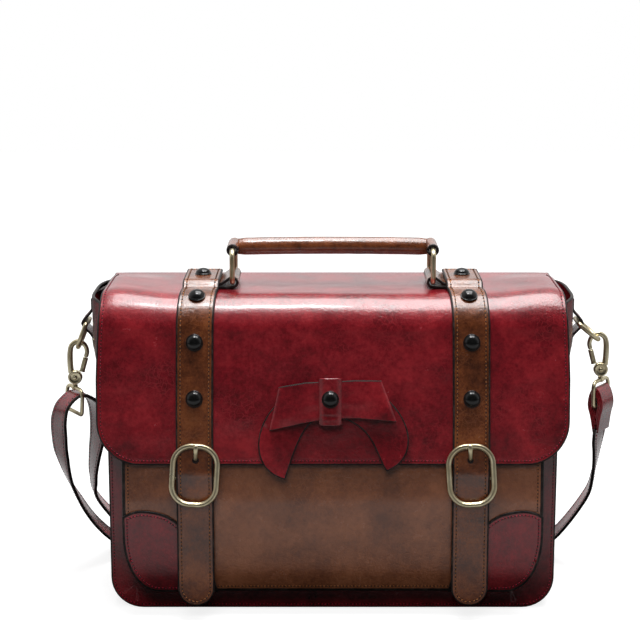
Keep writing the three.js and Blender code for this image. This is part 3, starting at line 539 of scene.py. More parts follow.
def lattice(ring, grid):
    """Triangles that fill a closed ring of 2-D points, with a lattice of points inside it."""
    edge = np.array([tuple(p) for p in ring])
    low, high = edge.min(0), edge.max(0)
    columns = np.linspace(low[0], high[0], max(2, round((high[0] - low[0]) / grid[0])) + 1)[1:-1]
    rows = np.linspace(low[1], high[1], max(2, round((high[1] - low[1]) / grid[1])) + 1)[1:-1]
    x, y = (a.ravel() for a in np.meshgrid(columns, rows))
    nearest = np.full(len(x), 1e9)
    for (ax, ay), (bx, by) in zip(edge, np.roll(edge, -1, 0)):
        length = max((bx - ax) ** 2 + (by - ay) ** 2, 1e-12)
        share = np.clip(((x - ax) * (bx - ax) + (y - ay) * (by - ay)) / length, 0, 1)
        away = np.hypot(x - ax - share * (bx - ax), y - ay - share * (by - ay))
        nearest = np.minimum(nearest, away)
    kept = inside(edge, x, y) & (nearest > 0.45 * min(grid))
    points = [Vector(p) for p in ring] + [Vector(p) for p in zip(x[kept], y[kept])]
    face = list(range(len(ring)))
    made = delaunay_2d_cdt(points, [], [face], 1, 1e-6, True)
    source = []
    for place, found in zip(made[0], made[3]):
        if not found:
            points.append(place)
        source.append(found[0] if found else len(points) - 1)
    triangles = [tuple(source[k] for k in f) for f in made[2]]
    middles = np.array([sum((points[k] for k in f), Vector((0, 0))) / 3 for f in triangles])
    filling = inside(edge, middles[:, 0], middles[:, 1])
    return points[len(ring):], [f for f, fills in zip(triangles, filling) if fills]


def band(first, after, count):
    """The faces between two rings of points, whose first points have these numbers."""
    pairs = [(i, (i + 1) % count) for i in range(count)]
    return [(first + i, first + j, after + j, after + i) for i, j in pairs]


# A groove's half width and its depth, and the flat ring beside it
GROOVE_HALF, GROOVE_DEPTH, GROOVE_FLAT = 1.2, 0.07, 2.2


def rim_section(thickness, paint, rim, stitch):
    """A sheet's painted rim and stitched groove, from its inner face, as (distance in, height)."""
    section = [(paint, 0.0)]
    for k in range(-3, 4):
        angle = k * math.pi / 6
        section.append((rim * (1 - math.cos(angle)), thickness * (1 + math.sin(angle)) / 2))
    section.append((paint, thickness))
    painted = len(section) - 1
    if stitch:
        section += [(stitch - GROOVE_HALF, thickness), (stitch, thickness - GROOVE_DEPTH),
                    (stitch + GROOVE_HALF, thickness), (stitch + GROOVE_FLAT, thickness)]
    return section, painted


def cut_leather(name, outline, place, thickness, face, edge=None, paint=1.1, stitch=None,
                spacing=3, grid=(5, 5), relief=None, rim=None):
    """A piece of leather cut to a 2-D outline, with a rounded painted rim.

    place(u, v, out) gives a point on its inner face, moved out. stitch is how far its seam lies
    from the rim, in a shallow groove. relief(u, v) raises the whole sheet, and rim is the rim's
    radius.
    """
    outline = vectors(outline)
    round_edge = min(thickness / 2, 0.9) if rim is None else rim
    section, painted = rim_section(thickness, paint, round_edge, stitch)
    counts = counts_for(outline, spacing)
    rings = [filled(inset(outline, distance), counts) for distance, _ in section]

    def placed(p, out):
        raised = relief(p.x, p.y) if relief else 0
        return place(p.x, p.y, out + raised)

    points = [placed(p, out) for ring, (_, out) in zip(rings, section) for p in ring]
    count = len(rings[0])
    faces, indices = [], []
    for row in range(len(rings) - 1):
        faces += band(row * count, (row + 1) * count, count)
        indices += [1 if row < painted else 0] * count
    for row, out, turned in ((0, 0, True), (len(rings) - 1, thickness, False)):
        inner, triangles = lattice(rings[row], grid)
        start = len(points)
        points += [placed(p, out) for p in inner]
        index = [row * count + i for i in range(count)] + list(range(start, start + len(inner)))
        for triangle in triangles:
            corners = tuple(index[k] for k in triangle)
            faces.append(tuple(reversed(corners)) if turned else corners)
            indices.append(0)
    return make_piece(name, points, faces, [face, edge or EDGE], indices)


# A stitch from end to end: how far along, how thick and how high
STITCH_SHAPE = [(0, 0.1, -0.5), (0.12, 0.8, 0.0), (0.5, 1, 0.45), (0.88, 0.8, 0.0), (1, 0.1, -0.5)]
NEEDLE_HOLE = 0.58


def spindle(points, faces, start, end, normal, radius, sides=6):
    """Adds one stitch: a short thread that dips in at both ends."""
    along = end - start
    across = along.cross(normal).normalized()
    first = len(points)
    for share, swell, lift in STITCH_SHAPE:
        middle = start + along * share + normal * (lift * radius)
        for k in range(sides):
            angle = 2 * math.pi * k / sides
            offset = across * math.cos(angle) + normal * math.sin(angle)
            points.append(middle + offset * (radius * swell))
    rows = len(STITCH_SHAPE) - 1
    for row in range(rows):
        faces += band(first + row * sides, first + (row + 1) * sides, sides)
    faces.append(tuple(reversed(range(first, first + sides))))
    faces.append(tuple(range(first + rows * sides, first + (rows + 1) * sides)))


def seam(name, outline, distance, place, height, thread, keep=None, pitch=2.6, length=1.5,
         radius=0.42):
    """A line of stitches along an outline, a distance in from its rim, with near-black spindles
    between them as painted shade in the needle holes.
    """
    line = inset(vectors(outline), distance)
    line = filled(line, counts_for(line, 1))
    line.append(line[0])
    runs = runs_of(line)

    def flat_at(run):
        i, share = span_at(runs, run)
        return line[i].lerp(line[i + 1], share)

    def placed(run, out):
        p = flat_at(run)
        return place(p.x, p.y, out)

    count = int(runs[-1] / pitch)
    points, faces, indices = [], [], []
    for k in range(count):
        run = (k + 0.5) * runs[-1] / count
        middle = (flat_at(run - length / 2) + flat_at(run + length / 2)) / 2
        if keep and not keep(middle.x, middle.y):
            continue
        base = place(middle.x, middle.y, height)
        normal = (place(middle.x, middle.y, height + 1) - base).normalized()
        ends = placed(run - length / 2, height), placed(run + length / 2, height)
        spindle(points, faces, *ends, normal, radius)
        indices += [0] * (len(faces) - len(indices))
        # Between stitches, a near-black spindle paints the shade in the needle hole
        hole = run + pitch / 2
        start, end = placed(hole, height - 0.05), placed(hole + 0.5, height - 0.05)
        if (end - start).length < 2:
            spindle(points, faces, start - (end - start), end, normal, NEEDLE_HOLE)
            indices += [1] * (len(faces) - len(indices))
    return make_piece(name, points, faces, [thread, HOLE_SHADE], indices)


def swept(name, stations, section, material, closed=False, section_of=None):
    """A solid swept through stations, each (centre, across, out); section is its cross-section."""
    points = []
    for i, (centre, across, out) in enumerate(stations):
        shape = section_of(i / (len(stations) - 1)) if section_of else section
        points += [centre + across * a + out * b for a, b in shape]
    sides = len(points) // len(stations)
    faces = []
    for i in range(len(stations) - (0 if closed else 1)):
        faces += band(i * sides, (i + 1) % len(stations) * sides, sides)
    if not closed:
        last = (len(stations) - 1) * sides
        faces.append(tuple(reversed(range(sides))))
        faces.append(tuple(range(last, last + sides)))
    return make_piece(name, points, faces, [material])


def directions(line, closed=False):
    """A line's direction at each of its points."""
    last = len(line) - 1
    pairs = [(line[max(i - 1, 0)], line[min(i + 1, last)]) for i in range(len(line))]
    if closed:
        pairs = [(line[i - 1], line[(i + 1) % len(line)]) for i in range(len(line))]
    return [(b - a).normalized() for a, b in pairs]


def flat_stations(line, matrix, closed):
    """Stations along a 2-D line that lies in a matrix's X-Z plane."""
    made = []
    turned = matrix.to_3x3()
    normal = (turned @ Vector((0, 1, 0))).normalized()
    for p, along in zip(line, directions(line, closed)):
        out = turned @ Vector((-along.y, 0, along.x))
        made.append((matrix @ Vector((p.x, 0, p.y)), normal, out))
    return made


def round_section(radius, sides=14):
    angles = [2 * math.pi * k / sides for k in range(sides)]
    return [(radius * math.cos(a), radius * math.sin(a)) for a in angles]


def bent_wire(name, line, matrix, radius, material, closed=True, taper=None):
    stations = flat_stations(vectors(line), matrix, closed)
    section_of = None
    if taper:
        section_of = lambda share: round_section(radius * taper(share))
    return swept(name, stations, round_section(radius), material, closed, section_of)


def turned_shape(name, profile, matrix, material, sides=40):
    """A solid turned about a matrix's Z axis from (radius, height) points; the ends are on it."""
    ring = profile[1:-1]
    points = [matrix @ Vector((0, 0, profile[0][1]))]
    for radius, height in ring:
        points += [matrix @ Vector((x, y, height)) for x, y in round_section(radius, sides)]
    points.append(matrix @ Vector((0, 0, profile[-1][1])))
    pairs = [(k, (k + 1) % sides) for k in range(sides)]
    faces = [(0, 1 + j, 1 + k) for k, j in pairs]
    for row in range(len(ring) - 1):
        faces += band(1 + row * sides, 1 + (row + 1) * sides, sides)
    top, last = 1 + (len(ring) - 1) * sides, len(points) - 1
    faces += [(top + k, top + j, last) for k, j in pairs]
    return make_piece(name, points, faces, [material])


def place_matrix(x, y, z):
    return Matrix.Translation((x, y, z))


def turn(degrees, axis):
    return Matrix.Rotation(math.radians(degrees), 4, axis)


def front_matrix(x, y, z, lean=0.0):
    """X stays right, Y runs up the bag's front and Z points out of it."""
    return place_matrix(x, y, z) @ turn(90 - math.degrees(lean), "X")


def finish_piece(piece, body, slot_name, *nodes):
    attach(piece, body)
    if nodes:
        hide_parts(*nodes)
    return piece


# ---- Body ----

def upright_outline(half, bottom, top, corner):
    """A front view with rounded lower corners, counter-clockwise from the top left."""
    wide, tall = corner
    left = arc((-half + wide, bottom + tall), corner, 180, 270, 10)
    right = arc((half - wide, bottom + tall), corner, 270, 360, 10)
    return vectors([(-half, top), *left, *right, (half, top)])


def u_profile(half, bottom, top, corner, side_steps, corner_steps):
    """A line in front view from the top left, round the foot, to the top right."""
    wide, tall = corner
    start = bottom + tall
    side = [(-half, lerp(top, start, i / side_steps)) for i in range(side_steps)]
    bend = arc((-half + wide, start), corner, 180, 270, corner_steps)
    left = vectors(side) + bend
    return Profile(left + [(-p.x, p.y) for p in reversed(left)])


def facing(y, sign):
    """Places a 2-D front view at a depth. Its outside faces front for -1 and back for 1."""
    return lambda u, v, out: Vector((u, y + sign * out, v))


def make_panels():
    for name, top, inner, sign, node_name in (
            ("front_leather", FRONT_HEIGHT, BODY_FRONT + PANEL_THICKNESS, -1, "front_panel"),
            ("back_leather", BODY_HEIGHT, BODY_BACK - PANEL_THICKNESS, 1, "back_panel")):
        outline = upright_outline(BODY_HALF, 0, top, BODY_CORNER)
        place = facing(inner, sign)
        # The panels take the darker copy of the red leather, which paints shade on them
        piece = cut_leather(name, outline, place, PANEL_THICKNESS, SHADED_RED, paint=1.3,
                            stitch=PANEL_SEAM, grid=(14, 14), rim=1.1)
        finish_piece(piece, "bag", "red_leather", node_name)
        thread = seam(name + "_seam", outline, PANEL_SEAM, place, PANEL_THICKNESS - THREAD_SINK,
                      RED_THREAD, keep=lambda u, v: v < top - 6)
        finish_piece(thread, "bag", "red_leather")


def bulge_at(y, z):
    across = 1 - (abs(y) / (BODY_BACK - PANEL_THICKNESS)) ** 4
    return GUSSET_BULGE * max(across, 0) * smooth(BULGE_START, BULGE_FULL, z)


def side_drop(y, z):
    """The side's top runs down under the flap's bend."""
    if y > BEND_CENTRE[0]:
        return 0
    clear = BEND_RADIUS - 2 * GAP
    top = BEND_CENTRE[1] + math.sqrt(max(clear ** 2 - (y - BEND_CENTRE[0]) ** 2, 0))
    full = BODY_HEIGHT - 0.5
    return max(full - top, 0) * smooth(BULGE_START, full, z)


def make_gusset():
    """The side-and-base strip, stuffed out near its top."""
    line = u_profile(BODY_HALF, 0, BODY_HEIGHT - 0.5, BODY_CORNER, 60, 12)

    def place(u, v, out):
        p = line.at(v, out - GUSSET_THICKNESS)
        ease = smooth(20, 60, v) * smooth(20, 60, line.length - v)
        crease = 0.5 * noise.noise((u * 0.05, p.y * 0.04, math.copysign(3, p.x))) * ease
        push = bulge_at(u, p.y) + crease * smooth(0, 20, 47 - abs(u))
        return Vector((p.x + math.copysign(push, p.x), u, p.y - side_drop(u, p.y)))

    reach = BODY_BACK - PANEL_THICKNESS - GAP
    piece = cut_leather("gusset_leather", strip(-reach, reach, line.length), place,
                        GUSSET_THICKNESS, RED, grid=(4, 5), spacing=4)
    finish_piece(piece, "bag", "red_leather", "gusset")


def cloth_piece(name, outline, place, thickness, relief, node_name):
    piece = cut_leather(name, outline, place, thickness, LINING, LINING, 0.6, grid=(8, 8),
                        relief=relief, rim=0.3)
    finish_piece(piece, "bag", "lining_fabric", node_name)


def make_lining():
    """A cloth bag that hangs a little slack inside the leather one, with a slip pocket."""
    half = BODY_HALF - GUSSET_THICKNESS - 0.6

    def slack(u, v):
        broad = noise.noise((u * 0.02, v * 0.02, 4.0))
        return 0.7 * broad + 0.35 * noise.noise((u * 0.06, v * 0.05, 9.0))

    outline = upright_outline(half, LINING_FLOOR, LINING_HEIGHT, BODY_CORNER)
    for name, sign in (("lining_front", -1), ("lining_back", 1)):
        place = facing(sign * (LINING_REACH - 1) - sign * LINING_THICKNESS, sign)
        cloth_piece(name, outline, place, LINING_THICKNESS, slack, "lining")
    line = u_profile(half, LINING_FLOOR, LINING_HEIGHT, BODY_CORNER, 30, 10)

    def on_side(u, v, out):
        p = line.at(v, out - 1)
        return Vector((p.x, u, p.y))

    width = LINING_REACH - 1.2
    outline = strip(-width, width, line.length)
    cloth_piece("lining_sides", outline, on_side, LINING_THICKNESS, slack, "lining")
    cloth_piece("lining_pocket", rounded_box(160, 90, 8),
                lambda u, v, out: Vector((u, 44.6 - out, v + 135)), 0.9,
                lambda u, v: 0.3 + slack(u, v) * 0.4, "slip_pocket")


# ---- Front pocket ----

def pocket_face(z):
    """The face leans back above the taper, and curls under at its foot."""
    share = max(z - POCKET_TAPER, 0) / (POCKET_TOP - POCKET_TAPER)
    curl = max(1 - (z - POCKET_BOTTOM) / 20, 0) ** 2
    return lerp(POCKET_FACE, POCKET_MOUTH, share) + 4 * curl


def make_pocket():
    outline = upright_outline(POCKET_HALF, POCKET_BOTTOM, POCKET_TOP, POCKET_CORNER)

    def place(u, v, out):
        return Vector((u, pocket_face(v) + POCKET_THICKNESS - out, v))

    def pad(u, v):
        edge = min(POCKET_HALF - abs(u), v - POCKET_BOTTOM, POCKET_TOP - v)
        return 0.5 * smooth(4, 40, edge) * (0.6 + 0.6 * noise.noise((u * 0.012, v * 0.014, 1.0)))

    piece = cut_leather("pocket_leather", outline, place, POCKET_THICKNESS, POCKET_BROWN, paint=2.6,
                        stitch=POCKET_SEAM, grid=(8, 6), relief=pad, rim=1.2)
    finish_piece(piece, "bag", "brown_leather", "pocket_panel")
    height = POCKET_THICKNESS - THREAD_SINK
    thread = seam("pocket_seam", outline, POCKET_SEAM, place, height, ORANGE_THREAD)
    finish_piece(thread, "bag", "brown_leather")


def make_pocket_side():
    """The pocket's side strip, from the bag's front to behind the pocket's face."""
    line = u_profile(POCKET_HALF - 3, POCKET_BOTTOM + 3, POCKET_TOP, POCKET_CORNER, 24, 12)

    def place(u, v, out):
        p = line.at(v, out - 2)
        front = pocket_face(line.at(v).y) + POCKET_THICKNESS + 0.2
        return Vector((p.x, lerp(BODY_FRONT - GAP, front, u / POCKET_SIDE_DEPTH), p.y))

    outline = strip(0, POCKET_SIDE_DEPTH, line.length)
    piece = cut_leather("pocket_side_leather", outline, place, 2, RED, grid=(4, 5), spacing=4)
    finish_piece(piece, "bag", "red_leather", "pocket_gusset")


def patch_outline():
    """The left corner patch: it follows the pocket's corner and curves over to its own top."""
    left, (wide, tall) = -POCKET_HALF, POCKET_CORNER
    corner = arc((left + wide, POCKET_BOTTOM + tall), POCKET_CORNER, 180, 270, 12)
    right, top = left + PATCH_SIZE[0], POCKET_BOTTOM + PATCH_SIZE[1]
    foot, crown = (right, POCKET_BOTTOM), (right - 42, top + 3)
    rise = bezier([foot, (right - 4, POCKET_BOTTOM + 30), (right - 26, top), crown], 14)
    fall = bezier([crown, (right - 54, top + 6), (left + 8, top + 6), (left, top)], 10)
    return [*corner, foot, *rise, *fall]


def make_patch(side):
    sign = -SIDES[side]

    def place(u, v, out):
        return Vector((sign * u, pocket_face(v) - GAP - out - 0.15, v))

    outline = patch_outline()
    piece = cut_leather(f"patch_leather_{side}", outline, place, PATCH_THICKNESS,
                        RED, paint=1.9, rim=0.6)
    finish_piece(piece, "bag", "red_leather", f"corner_patch_{side}")
    thread = seam(f"patch_seam_{side}", outline, PATCH_SEAM, place, 1.25, RED_THREAD, radius=0.4)
    finish_piece(thread, "bag", "red_leather")


# ---- Flap ----

def fall_point(z, out=0.0):
    """A point on the inside of the flap's fall, moved out, in side view."""
    y = FLAP_FOOT[0] + (z - FLAP_FOOT[1]) * math.tan(FLAP_LEAN)
    return Vector((y - out / math.cos(FLAP_LEAN), z))


def on_fall(x, z, out):
    p = fall_point(z, FLAP_THICKNESS + out)
    return Vector((x, p.x, p.y))


def flap_profile():
    """The flap's inside in side view, from the hem's foot over the top to its front edge."""
    hem = [(50.5, HEM_BOTTOM), (50.5, 237.2)]
    corner = arc((49.4, 237.2), 1.1, 0, 90, 6)
    top = [(lerp(48, BEND_CENTRE[0], i / 16), FLAP_INSIDE) for i in range(1, 16)]
    bend = arc(BEND_CENTRE, BEND_RADIUS, 90, 180, 30)
    fall = [fall_point(lerp(FALL_TOP, FLAP_FOOT[1], i / 30)) for i in range(31)]
    return Profile(hem + corner + top + bend + fall)


def flap_outline(length):
    """The flap laid flat, narrower at its hem, from the runs along its profile."""
    foot, hem_corner = length - FLAP_CORNER, 6
    side = [(FLAP_HALF, foot), (FLAP_HALF, 186), (FLAP_HALF - 1, 160), (FLAP_HALF - 2.4, 135),
            (HEM_HALF, 108), (HEM_HALF, FLAP_HEM), (HEM_HALF, hem_corner)]
    left = [(-half, run) for half, run in side[1:]]
    hem_left = arc((-HEM_HALF + hem_corner, hem_corner), hem_corner, 180, 270, 5)
    hem_right = arc((HEM_HALF - hem_corner, hem_corner), hem_corner, 270, 360, 5)
    foot_right = arc((FLAP_HALF - FLAP_CORNER, foot), FLAP_CORNER, 0, 90, 16)
    foot_left = arc((-FLAP_HALF + FLAP_CORNER, foot), FLAP_CORNER, 90, 180, 16)
    return left + hem_left[1:] + hem_right + side[-2::-1] + foot_right[1:] + foot_left


def make_flap():
    """The flap and its hem are one sheet, which bends where the hem ends."""
    profile = flap_profile()
    outline = flap_outline(profile.length)

    def place(u, v, out):
        p = profile.at(v, out)
        return Vector((u, p.x, p.y))

    def sag(u, v):
        """Shallow waves, none on the hem, and a lift over the stuffed ends of the gusset."""
        ends = smooth(60, 100, v) * smooth(0, 40, profile.length - v)
        edge = smooth(0, 30, FLAP_HALF - abs(u)) * ends
        broad = noise.noise((u * 0.018, v * 0.03, 2.0))
        fine = noise.noise((u * 0.055, v * 0.09, 7.0))
        waves = (0.45 * broad + 0.22 * fine) * (0.25 + 0.75 * edge) * smooth(50, 90, v)
        lifted = 3.6 * smooth(114, 162, abs(u)) - 2.6 * smooth(162, FLAP_HALF, abs(u))
        return waves + lifted * smooth(FLAP_HEM + 8, FLAP_HEM + 40, v) * smooth(150, 110, v)

    piece = cut_leather("flap_leather", outline, place, FLAP_THICKNESS, RED, paint=1.4,
                        stitch=FLAP_SEAM, grid=(4, 2.6), relief=sag, rim=1.3)
    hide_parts("flap_cover", "flap_hem")
    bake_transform(piece)
    lifted = lambda u, v, out: place(u, v, out + sag(u, v))
    for name, body, keep in (("hem", "bag", lambda u, v: v < FLAP_HEM - 3),
                             ("cover", "flap", lambda u, v: v > FLAP_HEM + 12)):
        thread = seam(f"flap_{name}_seam", outline, FLAP_SEAM, lifted, FLAP_THICKNESS - THREAD_SINK,
                      RED_THREAD, keep=keep)
        finish_piece(thread, body, "red_leather")


# ---- Belts and buckles ----

def belt_profile():
    """A belt's and its tongue's inner face, from the back of the handle's anchor to the tip."""
    low = FLAP_TOP + GAP
    step = [(BELT_BACK_EDGE, BELT_ON_ANCHOR), (0, BELT_ON_ANCHOR), (-19, BELT_ON_ANCHOR),
            (-21.9, BELT_ON_ANCHOR), (-24.3, low), (-27, low)]
    bend = arc(BEND_CENTRE, BEND_RADIUS + FLAP_THICKNESS + GAP, 90, 180, 24)
    fall = [fall_point(lerp(FALL_TOP, 112, i / 20), FLAP_THICKNESS + GAP) for i in range(21)]
    tongue = [(TONGUE_PLANE - 3 * i / 12, lerp(106, TONGUE_TIP, i / 12)) for i in range(13)]
    return Profile(softened(step) + bend + fall + tongue)


def belt_centre(y):
    share = min(max((-20 - y) / 49, 0), 1)
    return lerp(BELT_TOP_X, BELT_FRONT_X, share)


def belt_outline(length):
    half = BELT_WIDTH / 2
    left, right = arc((-half + 2, 2), 2, 180, 270, 3), arc((half - 2, 2), 2, 270, 360, 3)
    tip = arc((0, length - half), half, 0, 180, 16)
    return [(-half, 2), *left[1:], *right, *tip]


def make_belt(side):
    profile = belt_profile()
    outline = belt_outline(profile.length)

    def place(u, v, out):
        p = profile.at(v, out)
        return Vector((SIDES[side] * belt_centre(p.x) + u, p.x, p.y))

    def crown(u, v):
        return 0.12 * noise.noise((u * 0.1 + SIDES[side] * 9, v * 0.05, 3.0))

    piece = cut_leather(f"belt_leather_{side}", outline, place, BELT_THICKNESS, BELT_BROWN,
                        paint=1.35, stitch=BELT_SEAM, grid=(4, 3), relief=crown, rim=1)
    finish_piece(piece, "flap", "brown_leather", f"belt_{side}", f"tongue_{side}")
    thread = seam(f"belt_seam_{side}", outline, BELT_SEAM, place, BELT_THICKNESS - 0.2,
                  ORANGE_THREAD, pitch=3, length=2)
    finish_piece(thread, "flap", "brown_leather")


def stud_profile():
    """A dome on a thin pressed collar."""
    radius, height = STUD_RADIUS, STUD_HEIGHT
    collar = [(0, 0), (radius - 0.6, 0), (radius, 0.25), (radius, 0.55), (radius - 0.5, 0.75)]
    dome = [(p.x, p.y + 0.7) for p in arc((0, 0), (radius - 0.55, height - 0.7), 0, 84, 9)]
    return collar + dome + [(0, height)]


def make_stud(name, matrix, node_name):
    piece = turned_shape(name, stud_profile(), matrix, GLOSS)
    finish_piece(piece, "flap", "black_gloss", node_name)


def make_belt_studs(side):
    """One stud lies on the handle's anchor, one on the flap's bend and two on its fall."""
    angle = math.radians(STUD_BEND_ANGLE)
    radius = BEND_RADIUS + FLAP_THICKNESS + BELT_THICKNESS + 3 * GAP
    lean = math.pi / 2 - FLAP_LEAN
    bend = (BEND_CENTRE[0] - radius * math.sin(angle), BEND_CENTRE[1] + radius * math.cos(angle))
    places = [((0, BELT_ON_ANCHOR + BELT_THICKNESS + GAP), 0), (bend, angle)]
    out = FLAP_THICKNESS + BELT_THICKNESS + 3 * GAP
    places += [(fall_point(z, out), lean) for z in STUDS_ON_FALL]
    for number, ((y, z), leaning) in enumerate(places, 1):
        matrix = place_matrix(SIDES[side] * belt_centre(y), y, z) @ turn(math.degrees(leaning), "X")
        make_stud(f"stud_{side}_{number}", matrix, f"belt_stud_{side}_{number}")


def buckle_section():
    """A flat bar with a rounded outer edge and a wide inner bevel, as (sideways, outward)."""
    half, thick = BUCKLE_BAR / 2, BUCKLE_DEPTH
    bevel = [(half, 0.5), (half, thick * 0.42), (half - 0.25, thick * 0.6),
             (half - 1.5, thick - 0.1), (half - 1.9, thick)]
    outer = [(-half + 1.0, thick), (-half + 0.35, thick - 0.3), (-half, thick - 0.9)]
    return [(-half, 0.5), (-half + 0.4, 0), (half - 0.4, 0), *bevel, *outer]


def make_buckle(side):
    x = SIDES[side] * BELT_FRONT_X
    seat = on_fall(x, BUCKLE_CENTRE, 2 * GAP + BELT_THICKNESS)
    matrix = front_matrix(*seat, FLAP_LEAN) @ turn(SIDES[side] * BUCKLE_TILT, "Z")
    turned = matrix.to_3x3()
    width, height = (size - BUCKLE_BAR for size in BUCKLE_SIZE)
    line = rounded_box(width, height, BUCKLE_CORNER, 14)
    stations = []
    for p, along in zip(line, directions(line, closed=True)):
        inward = turned @ Vector((-along.y, along.x, 0))
        stations.append((matrix @ Vector((p.x, p.y, 0)), inward, turned @ Vector((0, 0, 1))))
    piece = swept(f"buckle_{side}", stations, buckle_section(), BRASS, closed=True)
    finish_piece(piece, "flap", "antique_brass", f"buckle_frame_{side}")
    make_buckle_bar(side, x)
    make_prong(side, matrix)


def make_buckle_bar(side, x):
    """The hidden cross bar behind the strap, on two arms from the frame's sides."""
    z = BUCKLE_CENTRE - 3.7
    back = TONGUE_PLANE + 1.3
    front = fall_point(z, FLAP_THICKNESS + BELT_THICKNESS + 2 * GAP + 1.5).x
    half = (BUCKLE_SIZE[0] - BUCKLE_BAR) / 2
    line = [(-half, front), (-half, back + 0.8), (-half + 0.8, back), (half - 0.8, back),
            (half, back + 0.8), (half, front)]
    matrix = place_matrix(x, 0, z) @ turn(-90, "X")
    piece = bent_wire(f"buckle_bar_{side}", line, matrix, 1.0, BRASS, closed=False)
    finish_piece(piece, "flap", "antique_brass")


def make_prong(side, matrix):
    """A tapered tongue over the frame's top bar, bent down into its hole in the strap."""
    top, turned = BUCKLE_SIZE[1] / 2, matrix.to_3x3()
    line = softened([(top - 0.4, 3.3), (top - 2.5, 3.9), (top - 5.5, 3.5), (top - 8.5, 2.0),
                     (top - 11.0, 0.6), (top - PRONG_REACH, -0.8)])
    stations = []
    for p, along in zip(line, directions(line)):
        stations.append((matrix @ Vector((0, p.x, p.y)), turned @ Vector((1, 0, 0)),
                         turned @ Vector((0, -along.y, along.x))))

    def section_of(share):
        return [(a * lerp(1.75, 1.25, share), b * 0.8) for a, b in round_section(1, 12)]

    piece = swept(f"prong_{side}", stations, None, BRASS, section_of=section_of)
    finish_piece(piece, "flap", "antique_brass", f"buckle_prong_{side}")
    # A near-black dish at the prong's tip paints the shade in its hole in the strap
    dent = [(0, -0.7), (2.3, -0.7), (2.6, -0.35), (2.2, -0.2), (0, -0.25)]
    tip = matrix @ place_matrix(0, top - PRONG_REACH, 0)
    hole = turned_shape(f"prong_hole_shade_{side}", dent, tip, HOLE_SHADE, 20)
    finish_piece(hole, "flap", "brown_leather")


# ---- Bow ----

# The loops' upper and lower edges: their X from end to end, and their heights there
BOW_UPPER = ((-37.8, -18, 0, 18, 37.5), (8.2, 11.6, 12.3, 13.2, 13.1))
BOW_LOWER = ((-44.7, -20, 0, 22, 48.6), (-23.6, -17.9, -14.8, -14.3, -17))
# The ends of the loops' painted rim and of the row beside it, as shares of their height
BOW_RIM = (0.012, 0.03)


def bow_loop_point(matrix, share, rise, inner):
    """A point of the folded loops, a distance in from their outside.

    share runs round the loops from the left fold, and rise runs up them.
    """
    angle = 2 * math.pi * share
    across = (1 - math.copysign(abs(math.cos(angle)) ** 0.55, math.cos(angle))) / 2
    left, right = (lerp(BOW_LOWER[0][end], BOW_UPPER[0][end], rise) for end in (0, -1))
    x = lerp(left, right, across)
    y = lerp(float(np.interp(x, *BOW_LOWER)), float(np.interp(x, *BOW_UPPER)), rise)
    near = smooth(0, 30, abs(x))
    puff = lerp(1.0, 3.4, near) + 0.5 * near * math.sin(rise * math.pi)
    flutter = (0.14 * (1 - near) * math.sin(rise * 19)
               + 0.35 * near * noise.noise((x * 0.06, y * 0.11, 5.0)))
    pinch = 1 - 0.06 * (1 - near) * math.sin(rise * math.pi)
    depth = max(puff + flutter - inner, 0.3)
    x -= math.copysign(min(inner, abs(x)), x) * abs(math.cos(angle)) ** 3
    return matrix @ Vector((x, y * pinch, 3.6 - depth * math.sin(angle)))


def make_bow_loops(matrix):
    """One band of leather folded into two flat loops, open at their top and foot."""
    around, rows = 120, 18
    points, faces, indices = [], [], []
    near, far = BOW_RIM
    heights = [0, near, far, *(i / rows for i in range(1, rows)), 1 - far, 1 - near, 1]
    layers = [(0.0, h) for h in heights] + [(LOOP_THICKNESS, h) for h in reversed(heights)]
    for inner, rise in layers:
        points += [bow_loop_point(matrix, k / around, rise, inner) for k in range(around)]
    for row, (_, rise) in enumerate(layers):
        after = (row + 1) % len(layers)
        edge = {rise, layers[after][1]} <= {0, near, 1 - near, 1}
        faces += band(row * around, after * around, around)
        indices += [1 if edge else 0] * around
    piece = make_piece("bow_loop_leather", points, faces, [RED, EDGE], indices)
    finish_piece(piece, "flap", "red_leather", "bow_loops")


def tail_outline(side):
    """One tail of the bow, counter-clockwise: wide at its bulge and narrow under the wrap."""
    if side == "right":
        tip = (41.3, -53.9)
        outer = bezier([(41, 0), (60, -16), (66, -44), tip], 16)
        inner = bezier([tip, (33, -42), (32, -21), (8, -15)], 14)
        return vectors([(41, 0), *outer, *inner, (0, -13), (0, 3)])[::-1]
    tip = (-33, -60.1)
    inner = bezier([(-8, -15), (-19, -18), (-25, -34), tip], 14)
    outer = bezier([tip, (-58, -54), (-58, -24), (-41, -6)], 16)
    return vectors([(0, 3), (0, -13), (-8, -15), *inner, *outer])[::-1]


def make_bow_tails(matrix):
    for side, sign in SIDES.items():
        lowest = 0.25 if side == "left" else 0.2

        def place(u, v, out):
            lift = 1.6 * smooth(-20, -60, v)
            wave = 0.35 * math.sin((v + 12 * sign) * 0.11) * smooth(-14, -34, v)
            return matrix @ Vector((u, v, lowest + lift + wave + out))

        piece = cut_leather(f"bow_tail_leather_{side}", tail_outline(side), place,
                            TAIL_THICKNESS, RED, paint=1.0, grid=(3.5, 3.5), rim=0.75)
        finish_piece(piece, "flap", "red_leather", *(["bow_tails"] if side == "left" else []))


